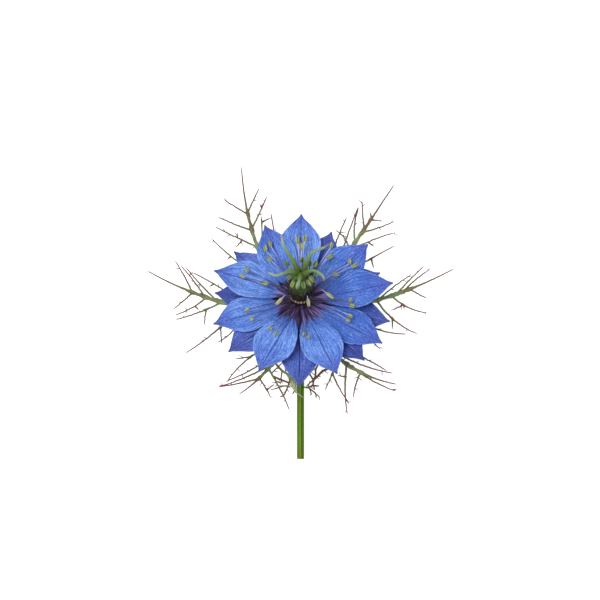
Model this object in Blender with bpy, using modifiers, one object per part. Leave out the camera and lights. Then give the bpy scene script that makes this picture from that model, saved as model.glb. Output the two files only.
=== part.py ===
"""A double blue nigella (love-in-a-mist), cut with a short stem and laid down on a table.

Metres, +Z up. The stem lies along -Y, bends up near the flower and carries a bloom that faces up and
leans back towards +Y. The origin is under the middle of the flower, on the table. It rests on the
underside of its stem and on the tips of its two far bracts.

Lengths and places in the tables are millimetres, and angles are degrees. The bloom is laid out in its
own frame: x and y lie across the flower, with y towards the far side, and z is its axis.
"""

import math
from collections import namedtuple

import bmesh
import bpy
from mathutils import Matrix, Vector

MM = 0.001

# The bloom's place and lean
HEAD_CENTRE = Vector((0.1, 3.3, 16.1))
HEAD_LEAN = math.radians(30.0)
HEAD_AXIS = Vector((0.0, math.sin(HEAD_LEAN), math.cos(HEAD_LEAN)))
HEAD_TURN = Matrix.Rotation(-HEAD_LEAN, 3, "X")

# The reference picture looks straight down, and its pixels count from its top left corner. The bloom
# is BLOOM_WIDTH across, at BLOOM_HEIGHT. VIEW_PIXEL looks down on VIEW_PLACE, from VIEW_HEIGHT.
BLOOM_WIDTH = 46.0
BLOOM_WIDTH_PIXELS = 179.7
BLOOM_HEIGHT = 16.0
VIEW_PIXEL = (300.0, 300.0)
VIEW_PLACE = (-0.026, 3.277)
VIEW_HEIGHT = 900.0
SIGHT_STEPS = 40

# Sepals lie in layers on one shallow cup, which is steeper on the far side
BLOOM_RADIUS = BLOOM_WIDTH / 2
CUP_RISE = 2.8
CUP_FAR_RISE = 1.8
CUP_POWER = 1.6
LAYER_STEP = 0.95
SEPAL_THICKNESS = 0.6
SEPAL_ROOT = 2.5
EDGE_LIFT_TOP_LAYER = 0.45
EDGE_LIFT_BELOW = 0.12
ACROSS = (-1.0, -0.5, 0.0, 0.5, 1.0)
# Claw, blade and tip: fraction of the way from root to tip, and half-width
BLADE_OUTLINE = (
    (0.0, 0.9), (0.14, 1.4), (0.21, 2.3), (0.31, 3.6), (0.43, 4.75), (0.56, 5.3),
    (0.68, 4.85), (0.78, 3.7), (0.87, 2.3), (0.94, 1.05), (1.0, 0.17),
)

# A sepal's tip is where the picture shows it, in pixels. Its layer counts down from the top
Sepal = namedtuple("Sepal", "tip layer breadth", defaults=(1.0,))
INNER_SEPALS = (
    Sepal((301.2, 214.7), 1), Sepal((264.9, 225.7), 0, 0.96), Sepal((214.5, 270.8), 0, 0.93),
    Sepal((213.9, 323.9), 1, 0.92), Sepal((259.0, 370.2), 0), Sepal((336.9, 373.4), 0),
    Sepal((381.8, 342.9), 1, 0.92), Sepal((392.4, 283.0), 0, 0.97), Sepal((367.6, 244.7), 1),
)
OUTER_SEPALS = (
    Sepal((234.3, 251.8), 2, 0.9), Sepal((215.5, 293.0), 3), Sepal((228.8, 351.4), 2),
    Sepal((299.2, 386.5), 3, 0.95), Sepal((364.0, 360.0), 2, 0.95), Sepal((389.4, 321.2), 3),
    Sepal((379.5, 273.0), 2), Sepal((331.4, 232.4), 3),
)

# The stem: a ridged stalk, a neck under the bloom, and the whorl that the bracts grow from
STEM_RADIUS = 0.93
STEM_RIDGES = 9
STEM_GROOVE = 0.11
STEM_BEND_RADIUS = 16.0
STEM_END_Y = -38.1
WHORL_HEIGHT = -8.0
WHORL_RADIUS = 1.4
RECEPTACLE_RADIUS = 2.2
RECEPTACLE_TOP = 4.0
# Receptacle, neck and whorl: radius and height on the bloom's axis, from the top down
RECEPTACLE_PROFILE = (
    (0.0, RECEPTACLE_TOP), (1.8, RECEPTACLE_TOP), (RECEPTACLE_RADIUS, 3.2),
    (RECEPTACLE_RADIUS, -3.5), (1.3, -4.7), (1.0, -6.4), (1.1, -7.2), (WHORL_RADIUS, -7.6),
    (WHORL_RADIUS, -8.3), (0.6, -8.9), (0.0, -8.9),
)

# Thread-like bracts lie on a bowl below the sepals. A rib's route starts inside the whorl, and the
# rib itself a little way along it, clear of the whorl.
RIB_ORIGIN = 1.2
RIB_START = 0.6
BOWL_REACH = 40.0
BOWL_RISE = 12.5
BOWL_POWER = 2.4
THREAD_TIP_RADIUS = 0.13
# A bract's main rib: fraction of its length, and radius
RIB_TAPER = ((0.0, 0.45), (0.35, 0.52), (0.57, 0.46), (0.7, 0.34), (0.78, 0.26), (1.0, 0.13))

# Each thread of a bract is an arc that the picture shows: the pixels where it starts and ends, and
# one that it passes if it bends. `lift` is how far its tip stands above the bowl. Starts hidden under
# the bloom are guesses.
Thread = namedtuple("Thread", "start tip passes lift forks", defaults=(None, 0.0, ()))
Bract = namedtuple("Bract", "passes tip rests threads")
BRACTS = {
    "bract_upper_left": Bract((251.7, 229.5), (241.4, 166.3), True, (
        Thread((246.5, 214.2), (223.0, 199.0)),
        Thread((249.7, 212.5), (259.4, 187.6), lift=0.8),
        Thread((252.0, 230.6), (216.9, 216.3), (238.5, 225.7)),
        Thread((253.4, 228.6), (267.2, 195.6), (261.7, 208.2), 1.2, (
            Thread((261.7, 208.2), (259.4, 203.3)),)),
        Thread((262.0, 252.0), (260.9, 214.5), (262.0, 229.5), 1.8, (
            Thread((263.7, 223.1), (271.8, 217.4)),)),
        Thread((291.0, 304.0), (270.9, 212.2), (273.8, 231.2), 1.2),
        Thread((258.0, 247.0), (214.1, 226.3), (237.3, 237.8), 0.6, (
            Thread((237.3, 237.8), (237.9, 232.3)), Thread((240.2, 245.0), (236.2, 247.5)))),
        Thread((275.0, 282.0), (210.9, 237.8), (231.8, 257.0), 0.6, (
            Thread((230.6, 257.3), (226.4, 259.9)),)),
    )),
    "bract_upper_right": Bract((365.2, 227.8), (394.5, 184.2), True, (
        Thread((365.0, 229.3), (362.0, 199.4), (362.3, 207.1), 0.4),
        Thread((363.0, 233.4), (395.3, 220.9), (373.2, 229.5)),
        Thread((371.9, 218.8), (369.5, 210.3)),
        Thread((372.4, 220.9), (381.8, 220.4)),
        Thread((355.6, 243.0), (358.9, 207.1), (354.9, 222.6), 1.2),
        Thread((336.0, 270.0), (358.3, 206.3), (350.0, 229.0), 2.4),
        Thread((350.0, 251.0), (334.5, 229.5), (345.7, 239.9), 0.3),
        Thread((324.0, 286.0), (347.1, 216.3), (335.9, 242.7), 1.4),
        Thread((350.0, 251.0), (395.6, 232.4), (372.1, 240.2), 0.6, (
            Thread((368.6, 243.9), (374.4, 246.8)),)),
        Thread((320.0, 291.0), (395.6, 245.3), (365.8, 261.7), 0.8, (
            Thread((370.9, 258.2), (374.1, 268.5)),)),
    )),
    "bract_left": Bract((203.8, 296.6), (146.1, 270.1), False, (
        Thread((192.5, 291.0), (174.4, 259.6), (182.7, 273.3)),
        Thread((192.3, 292.7), (172.8, 309.6), lift=0.6),
        Thread((205.0, 296.0), (179.9, 264.3), (192.9, 280.0), 1.2),
        Thread((206.5, 296.4), (173.8, 315.4), (194.8, 306.1), 1.0, (
            Thread((195.8, 306.8), (199.9, 311.2)),)),
        Thread((217.0, 300.0), (184.6, 265.9), (194.2, 277.4), 2.0),
        Thread((245.0, 307.5), (191.0, 272.0), (208.2, 280.6), 3.0, (
            Thread((213.3, 285.7), (208.6, 287.3)),)),
        Thread((222.0, 302.0), (175.4, 319.8), (194.2, 314.1), 0.4, (
            Thread((207.6, 311.9), (204.1, 325.9)),)),
        Thread((242.0, 307.0), (185.0, 353.5), (203.8, 340.6), 0.0, (
            Thread((222.6, 329.1), (221.9, 344.7)),)),
        Thread((244.0, 308.0), (216.6, 342.8), (231.9, 331.9), 0.6),
    )),
    "bract_right": Bract((409.0, 289.4), (455.2, 268.1), False, (
        Thread((403.5, 293.2), (431.7, 268.1), (421.7, 275.0)),
        Thread((410.2, 291.1), (427.4, 298.6), lift=0.5),
        Thread((396.5, 295.6), (424.8, 265.0), (407.3, 282.5), 1.2),
        Thread((392.0, 297.6), (428.8, 313.2), (403.3, 304.9), 0.8, (
            Thread((403.3, 304.9), (404.7, 309.2)), Thread((402.1, 306.0), (390.7, 310.6)))),
        Thread((378.6, 300.9), (411.9, 274.2), (398.7, 283.1), 1.8),
        Thread((377.0, 303.0), (418.0, 334.0), (392.4, 318.6), 0.0, (
            Thread((392.4, 318.6), (392.4, 329.6)),)),
        Thread((343.0, 310.0), (407.5, 334.0), (381.0, 330.5), 1.0),
        Thread((345.0, 310.0), (379.5, 348.7), lift=0.6),
    )),
    "bract_lower_left": Bract((259.7, 377.7), (238.4, 394.6), False, (
        Thread((290.0, 337.0), (226.6, 382.8), (248.3, 358.6), 1.6, (
            Thread((248.3, 354.8), (234.6, 358.6)),)),
        Thread((283.0, 349.0), (225.3, 381.6), (249.5, 370.7), 0.8),
        Thread((272.0, 364.0), (218.3, 386.7), (238.1, 380.3), 1.8),
        Thread((257.2, 377.7), (218.9, 387.0), lift=-0.6),
        Thread((260.4, 379.0), (270.6, 397.8), (266.8, 389.8), 0.0, (
            Thread((266.8, 389.8), (275.0, 383.5)),)),
        Thread((268.5, 368.5), (289.7, 410.9), (275.7, 380.9), 0.4),
    )),
    "bract_lower_right": Bract((354.2, 368.8), (397.6, 384.4), False, (
        Thread((352.0, 367.0), (396.3, 391.4), (369.5, 379.0), 0.6),
        Thread((322.0, 343.0), (393.8, 373.3), (365.7, 366.3), 0.4),
        Thread((318.0, 338.0), (387.0, 371.0), (365.1, 358.3), 1.6),
        Thread((347.0, 364.0), (347.5, 414.4), (345.3, 380.9), 0.0, (
            Thread((345.9, 398.8), (349.4, 404.2)), Thread((344.0, 377.1), (337.0, 375.2)))),
        Thread((359.3, 374.0), (353.6, 398.1), (354.2, 391.1), 0.8),
        Thread((339.0, 358.0), (324.9, 390.5), None, 0.8, (
            Thread((332.5, 373.3), (345.9, 398.8), (335.7, 380.9), 1.2),)),
    )),
}

# Two small leaves grow beside the stem and rise away from the table. A twig leaves its parent `at` mm
# along it, turned to its left by `turn`, and bends by `bend` over its length.
Twig = namedtuple("Twig", "at turn length bend lift forks", defaults=(0.0, 0.0, ()))
Leaf = namedtuple("Leaf", "start azimuth length bend height rise twigs")
LEAVES = {
    "leaf_left": Leaf((-1.5, -20.6), 110, 9.6, 35, 1.6, 0.32, (
        Twig(4.6, 128, 4.5, -10), Twig(7.0, -40, 3.0), Twig(1.2, -152, 3.7, -6, 1.4),
        Twig(6.2, 62, 2.4),
    )),
    "leaf_right": Leaf((1.5, -19.1), 35, 7.6, 0, 1.6, 0.36, (
        Twig(0.9, -62, 4.6, -12, 0.5), Twig(1.7, -32, 3.2), Twig(2.4, 70, 3.2, 0, 0.8),
        Twig(3.9, 48, 3.6, -15, 0.4), Twig(5.0, -42, 2.2),
    )),
}
LEAF_RIB_TAPER = ((0.0, 0.4), (0.25, 0.5), (0.6, 0.34), (1.0, 0.14))

# Stamens. A spread one's anther is seen at this pixel, `height` above the cup of sepals, and faces
# `turn` degrees to the left of its filament
Stamen = namedtuple("Stamen", "anther height turn", defaults=(1.6, 0.0))
STAMEN_GROUPS = (
    (Stamen((270.4, 243.6), turn=-22), Stamen((265.7, 248.5), turn=-28), Stamen((269.5, 258.9), 1.8)),
    (Stamen((297.6, 240.6)), Stamen((304.6, 238.6)), Stamen((301.4, 246.9), 2.5)),
    (Stamen((331.4, 244.9), turn=20), Stamen((329.1, 256.8), turn=-20)),
    (Stamen((349.5, 261.2), turn=55), Stamen((354.3, 265.3)), Stamen((335.8, 274.0), 2.8, -20)),
    (Stamen((246.9, 269.5), turn=-45), Stamen((242.7, 275.9), turn=-22), Stamen((265.0, 282.7), 2.8)),
    (Stamen((246.6, 310.0)), Stamen((251.0, 318.9))),
    (Stamen((269.9, 328.6)), Stamen((275.5, 334.2))),
    (Stamen((304.0, 334.2)), Stamen((308.2, 337.1))),
    (Stamen((351.1, 299.5), turn=70), Stamen((352.4, 305.6))),
    (Stamen((348.4, 320.0)), Stamen((350.2, 315.6))),
)
STAMEN_FOOT_RADIUS = 0.36
STAMEN_FOOT_REACH = 2.92
STAMEN_FOOT_HEIGHT = 1.5
FILAMENT_RADII = (0.2, 0.14)
FILAMENT_ARCH = 1.0
ANTHER_RADIUS = 0.5
ANTHER_LENGTH = 2.1
# How far past the filament's end the anther's middle is, as a share of its length
ANTHER_SINK = 0.3
COLLAR_RADIUS = 2.88
COLLAR_THICKNESS = 0.3
COLLAR_HEIGHT = 3.6
# Young stamens clasp the ovary: the pixel and height of each anther's middle, and how far it leans out
Upright = namedtuple("Upright", "anther height lean")
UPRIGHTS = (
    Upright((315.6, 274.6), 12.8, 8), Upright((315.6, 264.2), 13.2, 25),
    Upright((309.9, 263.2), 13.6, 5), Upright((302.2, 259.5), 13.8, 5),
    Upright((294.5, 261.2), 13.6, 5), Upright((286.8, 263.5), 13.4, 15),
    Upright((289.8, 269.6), 12.9, -15), Upright((289.5, 277.2), 12.6, -25),
    Upright((292.5, 283.9), 12.3, -38), Upright((298.0, 285.0), 12.3, -38),
    Upright((302.9, 283.3), 12.6, -35), Upright((308.5, 282.6), 12.4, -35),
    Upright((311.9, 279.3), 12.5, -25),
)
# The least and the greatest reach of their anthers, which keeps them close to the ovary
UPRIGHT_REACHES = (2.95, 4.7)
UPRIGHT_BELLY = 3.4
# Three young stamens hang from the collar: the middle and the end of each filament
HANGING_FILAMENTS = (
    ((-4.3, -1.3, 6.2), (-6.0, -2.1, 4.3)),
    ((1.9, -3.6, 7.2), (2.3, -4.0, 5.2)),
    ((5.6, 0.5, 6.0), (7.8, 0.4, 4.3)),
)

# The pistil: five fused follicles, each ending in a curved style
OVARY_RADIUS = 2.35
OVARY_BASE = 4.35
OVARY_TOP = 14.2
OVARY_LOBES = 5
OVARY_LOBE_DEPTH = 0.08
STYLE_RADII = (0.6, 0.24)
# Each style passes these pixels, at these heights in the bloom's frame
STYLE_ROUTES = (
    ((297.8, 270.6, 13.5), (292.5, 259.8, 15.8), (286.5, 250.5, 17.2), (283.1, 243.8, 17.8),
     (281.3, 234.9, 17.6)),
    ((303.9, 270.6, 13.5), (306.9, 261.2, 15.8), (312.6, 252.5, 17.4), (321.9, 248.5, 17.8),
     (328.6, 244.5, 17.2)),
    ((297.8, 273.9, 13.5), (291.1, 271.9, 15.4), (283.8, 273.2, 16.0), (275.7, 275.6, 15.2),
     (267.4, 271.9, 14.4)),
    ((303.2, 274.6, 13.5), (310.6, 270.6, 15.4), (317.2, 271.9, 16.2), (322.6, 275.9, 15.6),
     (324.4, 281.3, 13.8)),
    ((300.6, 275.2, 13.5), (299.5, 279.3, 15.2), (298.5, 283.9, 15.0), (297.5, 287.0, 13.6)),
)

# Colours as seen, in sRGB from 0 to 255, with roughness
FINISHES = {
    "sepal_blue_inner": ((97, 134, 222), 0.62),
    "sepal_blue_outer": ((74, 92, 176), 0.62),
    "stem_green": ((92, 118, 32), 0.55),
    "bract_olive": ((104, 104, 66), 0.6),
    "stamen_green": ((158, 160, 92), 0.55),
    "pistil_green": ((72, 104, 40), 0.5),
}


def linear(channel):
    """One sRGB channel from 0 to 255, as the linear value that a shader takes."""
    value = channel / 255.0
    if value <= 0.04045:
        return value / 12.92
    return ((value + 0.055) / 1.055) ** 2.4


def finish(name):
    """The Principled material of this name, made once."""
    if name in bpy.data.materials:
        return bpy.data.materials[name]
    colour, roughness = FINISHES[name]
    material = bpy.data.materials.new(name)
    material.use_nodes = True
    shader = material.node_tree.nodes["Principled BSDF"]
    shader.inputs["Base Color"].default_value = (*map(linear, colour), 1.0)
    shader.inputs["Roughness"].default_value = roughness
    shader.inputs["Metallic"].default_value = 0.0
    return material


def clear_scene():
    """Removes what the scene holds, and returns the flower's own collection."""
    for obj in list(bpy.context.scene.objects):
        bpy.data.objects.remove(obj, do_unlink=True)
    flower = bpy.data.collections.new("nigella_flower")
    bpy.context.scene.collection.children.link(flower)
    return flower


def head_empty(flower):
    """The empty that carries the bloom: its z axis is the flower's axis."""
    head = bpy.data.objects.new("bloom_frame", None)
    head.location = HEAD_CENTRE * MM
    head.rotation_euler = (-HEAD_LEAN, 0.0, 0.0)
    flower.objects.link(head)
    return head


def head_matrix():
    """From the bloom's frame to the world, in metres."""
    return Matrix.Translation(HEAD_CENTRE * MM) @ Matrix.Rotation(-HEAD_LEAN, 4, "X")


def place(name, mesh, material, collection, parent=None):
    """A named object of this mesh, in its material and collection."""
    obj = bpy.data.objects.new(name, mesh)
    mesh.materials.clear()
    mesh.materials.append(finish(material))
    mesh.shade_smooth()
    collection.objects.link(obj)
    obj.parent = parent
    return obj


def mesh_of(build, name):
    """A mesh from a bmesh, welded, with its faces pointing out."""
    bmesh.ops.remove_doubles(build, verts=build.verts, dist=1e-7)
    bmesh.ops.recalc_face_normals(build, faces=build.faces)
    if build.calc_volume(signed=True) < 0.0:
        bmesh.ops.reverse_faces(build, faces=build.faces)
    mesh = bpy.data.meshes.new(name)
    build.to_mesh(mesh)
    build.free()
    return mesh


def applied(obj):
    """The object's evaluated mesh, with its modifiers in it. The object itself is removed."""
    bpy.context.view_layer.update()
    graph = bpy.context.evaluated_depsgraph_get()
    mesh = bpy.data.meshes.new_from_object(obj.evaluated_get(graph))
    bpy.data.objects.remove(obj, do_unlink=True)
    return mesh


def tapered(taper, fraction):
    """The value at this fraction of a list of (fraction, value) points."""
    for (low, first), (high, last) in zip(taper, taper[1:]):
        if fraction <= high:
            return first + (last - first) * (fraction - low) / (high - low)
    return taper[-1][1]


def tube(points, radii, sides=4, section=None):
    """A closed tube mesh along points in mm, with a radius at each, or a section curve."""
    curve = bpy.data.curves.new("tube", "CURVE")
    curve.dimensions = "3D"
    curve.fill_mode = "FULL"
    curve.use_fill_caps = True
    if section is None:
        curve.bevel_depth = MM
        curve.bevel_resolution = (sides - 4) // 2
    else:
        curve.bevel_mode = "OBJECT"
        curve.bevel_object = section
    spline = curve.splines.new("POLY")
    spline.points.add(len(points) - 1)
    for point, place_mm, radius in zip(spline.points, points, radii):
        point.co = (*(Vector(place_mm) * MM), 1.0)
        point.radius = radius
    obj = bpy.data.objects.new("tube", curve)
    bpy.context.scene.collection.objects.link(obj)
    mesh = applied(obj)
    bpy.data.curves.remove(curve)
    build = bmesh.new()
    build.from_mesh(mesh)
    bpy.data.meshes.remove(mesh)
    return mesh_of(build, "tube")


def fused(first, others):
    """One mesh from a first mesh and a list of others, joined by one Boolean union."""
    pieces = bpy.data.collections.new("pieces")
    bpy.context.scene.collection.children.link(pieces)
    for mesh in others:
        pieces.objects.link(bpy.data.objects.new("piece", mesh))
    body = bpy.data.objects.new("body", first)
    bpy.context.scene.collection.objects.link(body)
    union = body.modifiers.new("union", "BOOLEAN")
    union.operation = "UNION"
    union.operand_type = "COLLECTION"
    union.collection = pieces
    union.solver = "EXACT"
    mesh = applied(body)
    for piece in list(pieces.objects):
        bpy.data.objects.remove(piece, do_unlink=True)
    bpy.data.collections.remove(pieces)
    return mesh


def smooth_route(points, count):
    """Count points along a Catmull-Rom curve through the given ones."""
    points = [Vector(point) for point in points]
    ends = [points[0] * 2 - points[1], *points, points[-1] * 2 - points[-2]]
    route = []
    for index in range(count):
        span = index * (len(points) - 1) / (count - 1)
        start = min(int(span), len(points) - 2)
        t = span - start
        a, b, c, d = ends[start:start + 4]
        route.append(0.5 * (2 * b + (c - a) * t + (2 * a - 5 * b + 4 * c - d) * t * t
                            + (3 * b - a - 3 * c + d) * t ** 3))
    return route


def polar(azimuth, reach, height):
    """A place in the bloom's frame from its azimuth, reach and height."""
    angle = math.radians(azimuth)
    return Vector((reach * math.cos(angle), reach * math.sin(angle), height))


def seen_place(pixel, surface):
    """The place in the bloom's frame where the line of sight through a pixel meets a surface."""
    height = HEAD_CENTRE.z
    for _ in range(SIGHT_STEPS):
        scale = BLOOM_WIDTH / BLOOM_WIDTH_PIXELS * (VIEW_HEIGHT - height) / (VIEW_HEIGHT - BLOOM_HEIGHT)
        across = (pixel[0] - VIEW_PIXEL[0]) * scale
        down = (pixel[1] - VIEW_PIXEL[1]) * scale
        seen = Vector((VIEW_PLACE[0] + across, VIEW_PLACE[1] - down, height))
        place = HEAD_TURN.inverted() @ (seen - HEAD_CENTRE)
        place.z = surface(place.x, place.y)
        height = (HEAD_CENTRE + HEAD_TURN @ place).z
    return place


def azimuth_of(place):
    """The azimuth of a place in the bloom's frame."""
    return math.degrees(math.atan2(place.y, place.x))


def cup_height(x, y):
    """Height of the cup that the sepals lie on, at a place across the bloom."""
    reach = math.hypot(x, y)
    if reach == 0.0:
        return 0.0
    rise = CUP_RISE + CUP_FAR_RISE * y / reach
    return rise * (reach / BLOOM_RADIUS) ** CUP_POWER


def layer_height(x, y, layer):
    """Height of the middle of a sepal of this layer, at a place across the bloom."""
    return cup_height(x, y) - layer * LAYER_STEP


def sepal_mesh(sepal, tip):
    """The sepal's open surface: a narrow claw, then a broad pointed blade lying on the cup."""
    turn = math.radians(azimuth_of(tip))
    reach = tip.to_2d().length
    edge_lift = EDGE_LIFT_BELOW if sepal.layer else EDGE_LIFT_TOP_LAYER
    build = bmesh.new()
    rows = []
    for fraction, half_width in BLADE_OUTLINE:
        along = SEPAL_ROOT + (reach - SEPAL_ROOT) * fraction
        half_width *= sepal.breadth if fraction > BLADE_OUTLINE[1][0] else 1.0
        row = []
        for across in ACROSS:
            side = half_width * across
            x = along * math.cos(turn) - side * math.sin(turn)
            y = along * math.sin(turn) + side * math.cos(turn)
            lift = edge_lift * across ** 2 * math.sin(math.pi * fraction)
            height = layer_height(x, y, sepal.layer) + lift
            row.append(build.verts.new(Vector((along, side, height)) * MM))
        rows.append(row)
    for near, far in zip(rows, rows[1:]):
        for index in range(len(ACROSS) - 1):
            build.faces.new((near[index], far[index], far[index + 1], near[index + 1]))
    bmesh.ops.triangulate(build, faces=build.faces)
    mesh = bpy.data.meshes.new("sepal")
    build.to_mesh(mesh)
    build.free()
    return mesh


def add_sepals(flower, head):
    """The two whorls of sepals, each a thin blade of its own."""
    whorls = (("sepal_inner", INNER_SEPALS, "sepal_blue_inner"),
              ("sepal_outer", OUTER_SEPALS, "sepal_blue_outer"))
    for whorl, sepals, colour in whorls:
        for number, sepal in enumerate(sepals, 1):
            tip = seen_place(sepal.tip, lambda x, y: layer_height(x, y, sepal.layer))
            obj = place(f"{whorl}_{number}", sepal_mesh(sepal, tip), colour, flower, head)
            obj.rotation_euler = (0.0, 0.0, math.radians(azimuth_of(tip)))
            wall = obj.modifiers.new("thickness", "SOLIDIFY")
            wall.thickness = SEPAL_THICKNESS * MM
            wall.offset = 0.0


def receptacle_mesh():
    """Receptacle, neck and whorl, turned about the bloom's axis and put in the world."""
    profile = bmesh.new()
    corners = [profile.verts.new((radius * MM, 0.0, height * MM)) for radius, height in RECEPTACLE_PROFILE]
    for first, second in zip(corners, corners[1:]):
        profile.edges.new((first, second))
    mesh = bpy.data.meshes.new("receptacle")
    profile.to_mesh(mesh)
    profile.free()
    obj = bpy.data.objects.new("receptacle", mesh)
    bpy.context.scene.collection.objects.link(obj)
    turned = obj.modifiers.new("turned", "SCREW")
    turned.steps = turned.render_steps = 16
    turned.use_merge_vertices = True
    turned.merge_threshold = 1e-6
    build = bmesh.new()
    build.from_mesh(applied(obj))
    bmesh.ops.transform(build, matrix=head_matrix(), verts=build.verts)
    return mesh_of(build, "receptacle")


def stem_section():
    """A closed ridged outline, as a 2D curve for the stem's section."""
    curve = bpy.data.curves.new("stem_section", "CURVE")
    curve.dimensions = "2D"
    spline = curve.splines.new("POLY")
    count = 2 * STEM_RIDGES
    spline.points.add(count - 1)
    spline.use_cyclic_u = True
    for index, point in enumerate(spline.points):
        radius = (STEM_RADIUS - STEM_GROOVE * (index % 2)) * MM
        angle = 2 * math.pi * index / count - math.pi / 2
        point.co = (radius * math.cos(angle), radius * math.sin(angle), 0.0, 1.0)
    section = bpy.data.objects.new("stem_section", curve)
    section.hide_render = True
    bpy.context.scene.collection.objects.link(section)
    return section


def stem_route():
    """Points down the neck, round the bend and along the table to the cut end."""
    lean = math.pi / 2 - HEAD_LEAN
    bend_top = STEM_RADIUS + STEM_BEND_RADIUS * (1 - math.cos(lean))
    bend_height = (bend_top - HEAD_CENTRE.z) / HEAD_AXIS.z
    start = HEAD_CENTRE + HEAD_AXIS * bend_height
    route = [HEAD_CENTRE + HEAD_AXIS * WHORL_HEIGHT]
    steps = 8
    for step in range(steps + 1):
        down = lean * (1 - step / steps)
        route.append(Vector((
            start.x,
            start.y - STEM_BEND_RADIUS * (math.sin(lean) - math.sin(down)),
            start.z - STEM_BEND_RADIUS * (math.cos(down) - math.cos(lean)),
        )))
    route.append(Vector((start.x, STEM_END_Y, STEM_RADIUS)))
    return route


def add_stem(flower):
    """The ridged stem with its neck, whorl and receptacle, grown as one piece."""
    section = stem_section()
    route = stem_route()
    stalk = tube(route, [1.0] * len(route), section=section)
    outline = section.data
    bpy.data.objects.remove(section, do_unlink=True)
    bpy.data.curves.remove(outline)
    place("stem", fused(stalk, [receptacle_mesh()]), "stem_green", flower)


def bowl_height(x, y, rise):
    """Height of the bowl that a bract lies on, at a place across the bloom."""
    return WHORL_HEIGHT + rise * (math.hypot(x, y) / BOWL_REACH) ** BOWL_POWER


def arc_point(start, heading, length, bend, distance):
    """The place and heading this far along an arc, both across a plane."""
    if abs(bend) < 0.01:
        return (start[0] + distance * math.cos(math.radians(heading)),
                start[1] + distance * math.sin(math.radians(heading))), heading
    here = heading + bend * distance / length
    radius = length / math.radians(bend)
    x = start[0] + radius * (math.sin(math.radians(here)) - math.sin(math.radians(heading)))
    y = start[1] - radius * (math.cos(math.radians(here)) - math.cos(math.radians(heading)))
    return (x, y), here


def arc_through(start, middle, tip):
    """Start, heading, length and bend of the arc from start to tip that passes through middle."""
    heading = math.atan2(tip[1] - start[1], tip[0] - start[0])
    before = math.atan2(middle[1] - start[1], middle[0] - start[0])
    after = math.atan2(tip[1] - middle[1], tip[0] - middle[0])
    half_bend = math.remainder(after - before, 2 * math.pi)
    length = math.dist(start, tip)
    if abs(half_bend) > 1e-4:
        length *= half_bend / math.sin(half_bend)
    return start, math.degrees(heading - half_bend), length, math.degrees(2 * half_bend)


def nearest(arc, place):
    """How far along an arc its nearest point to a place is."""
    steps = 200
    distances = [arc[2] * step / steps for step in range(steps + 1)]
    return min(distances, key=lambda distance: math.dist(arc_point(*arc, distance)[0], place))


def blend(ends, fraction):
    """The value at this fraction of the way between two ends."""
    return ends[0] + (ends[1] - ends[0]) * fraction


def laid_place(pixel, surface, lift):
    """The place across the bloom where a thread is seen, if it stands this far above a surface."""
    return seen_place(pixel, lambda x, y: surface(x, y, THREAD_TIP_RADIUS, lift)).to_2d()


def traced_twigs(threads, parent, parent_lifts, surface):
    """The twigs of a parent arc, worked out from where their threads are seen."""
    twigs = []
    for thread in threads:
        at = nearest(parent, laid_place(thread.start, surface, blend(parent_lifts, 0.5)))
        start, heading = arc_point(*parent, at)
        low = blend(parent_lifts, at / parent[2])
        lifts = (low, low + thread.lift)
        tip = laid_place(thread.tip, surface, lifts[1])
        middle = (Vector(start) + tip) / 2
        if thread.passes:
            before = math.dist(thread.start, thread.passes)
            after = math.dist(thread.passes, thread.tip)
            middle = laid_place(thread.passes, surface, blend(lifts, before / (before + after)))
        arc = arc_through(start, middle, tip)
        forks = traced_twigs(thread.forks, arc, lifts, surface)
        twigs.append(Twig(at, arc[1] - heading, arc[2], arc[3], thread.lift, forks))
    return twigs


def thread_mesh(arc, lifts, radii, surface, steps, start=0.0):
    """A thin tube along an arc laid on a surface, raised by lifts at its two ends."""
    points = []
    widths = []
    for step in range(steps + 1):
        fraction = start / arc[2] + (1.0 - start / arc[2]) * step / steps
        (x, y), _ = arc_point(*arc, arc[2] * fraction)
        radius = tapered(radii, fraction)
        points.append((x, y, surface(x, y, radius, blend(lifts, fraction))))
        widths.append(radius)
    return tube(points, widths)


def grow(twigs, parent, parent_lifts, surface, threads):
    """Adds the mesh of each twig and of its forks to threads."""
    for twig in twigs:
        start, heading = arc_point(*parent, twig.at)
        arc = (start, heading + twig.turn, twig.length, twig.bend)
        low = blend(parent_lifts, twig.at / parent[2])
        lifts = (low, low + twig.lift)
        radii = ((0.0, 0.22 + 0.007 * twig.length), (1.0, THREAD_TIP_RADIUS))
        steps = max(1, math.ceil(twig.length / 4.5))
        threads.append(thread_mesh(arc, lifts, radii, surface, steps))
        grow(twig.forks, arc, lifts, surface, threads)


def table_height(y, clearance):
    """The bloom-frame height of a place that stands this far above the table."""
    return (clearance - HEAD_CENTRE.z + y * math.sin(HEAD_LEAN)) / math.cos(HEAD_LEAN)


def bract_rise(bract):
    """How far the bowl rises under this bract: for one that rests, enough to meet the table."""
    if not bract.rests:
        return BOWL_RISE
    tip = seen_place(bract.tip, lambda x, y: table_height(y, THREAD_TIP_RADIUS))
    return (tip.z - WHORL_HEIGHT) / (tip.to_2d().length / BOWL_REACH) ** BOWL_POWER


def add_bracts(flower, head):
    """The whorl of finely cut bracts, each a rib with its twigs."""
    for name, bract in BRACTS.items():
        rise = bract_rise(bract)

        def surface(x, y, radius, lift, rise=rise):
            return max(bowl_height(x, y, rise) + lift, table_height(y, radius))

        middle = laid_place(bract.passes, surface, 0.0)
        tip = laid_place(bract.tip, surface, 0.0)
        arc = arc_through(middle.normalized() * RIB_ORIGIN, middle, tip)
        rib = thread_mesh(arc, (0.0, 0.0), RIB_TAPER, surface, 11, start=RIB_START)
        threads = []
        grow(traced_twigs(bract.threads, arc, (0.0, 0.0), surface), arc, (0.0, 0.0), surface, threads)
        place(name, fused(rib, threads), "bract_olive", flower, head)


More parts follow.
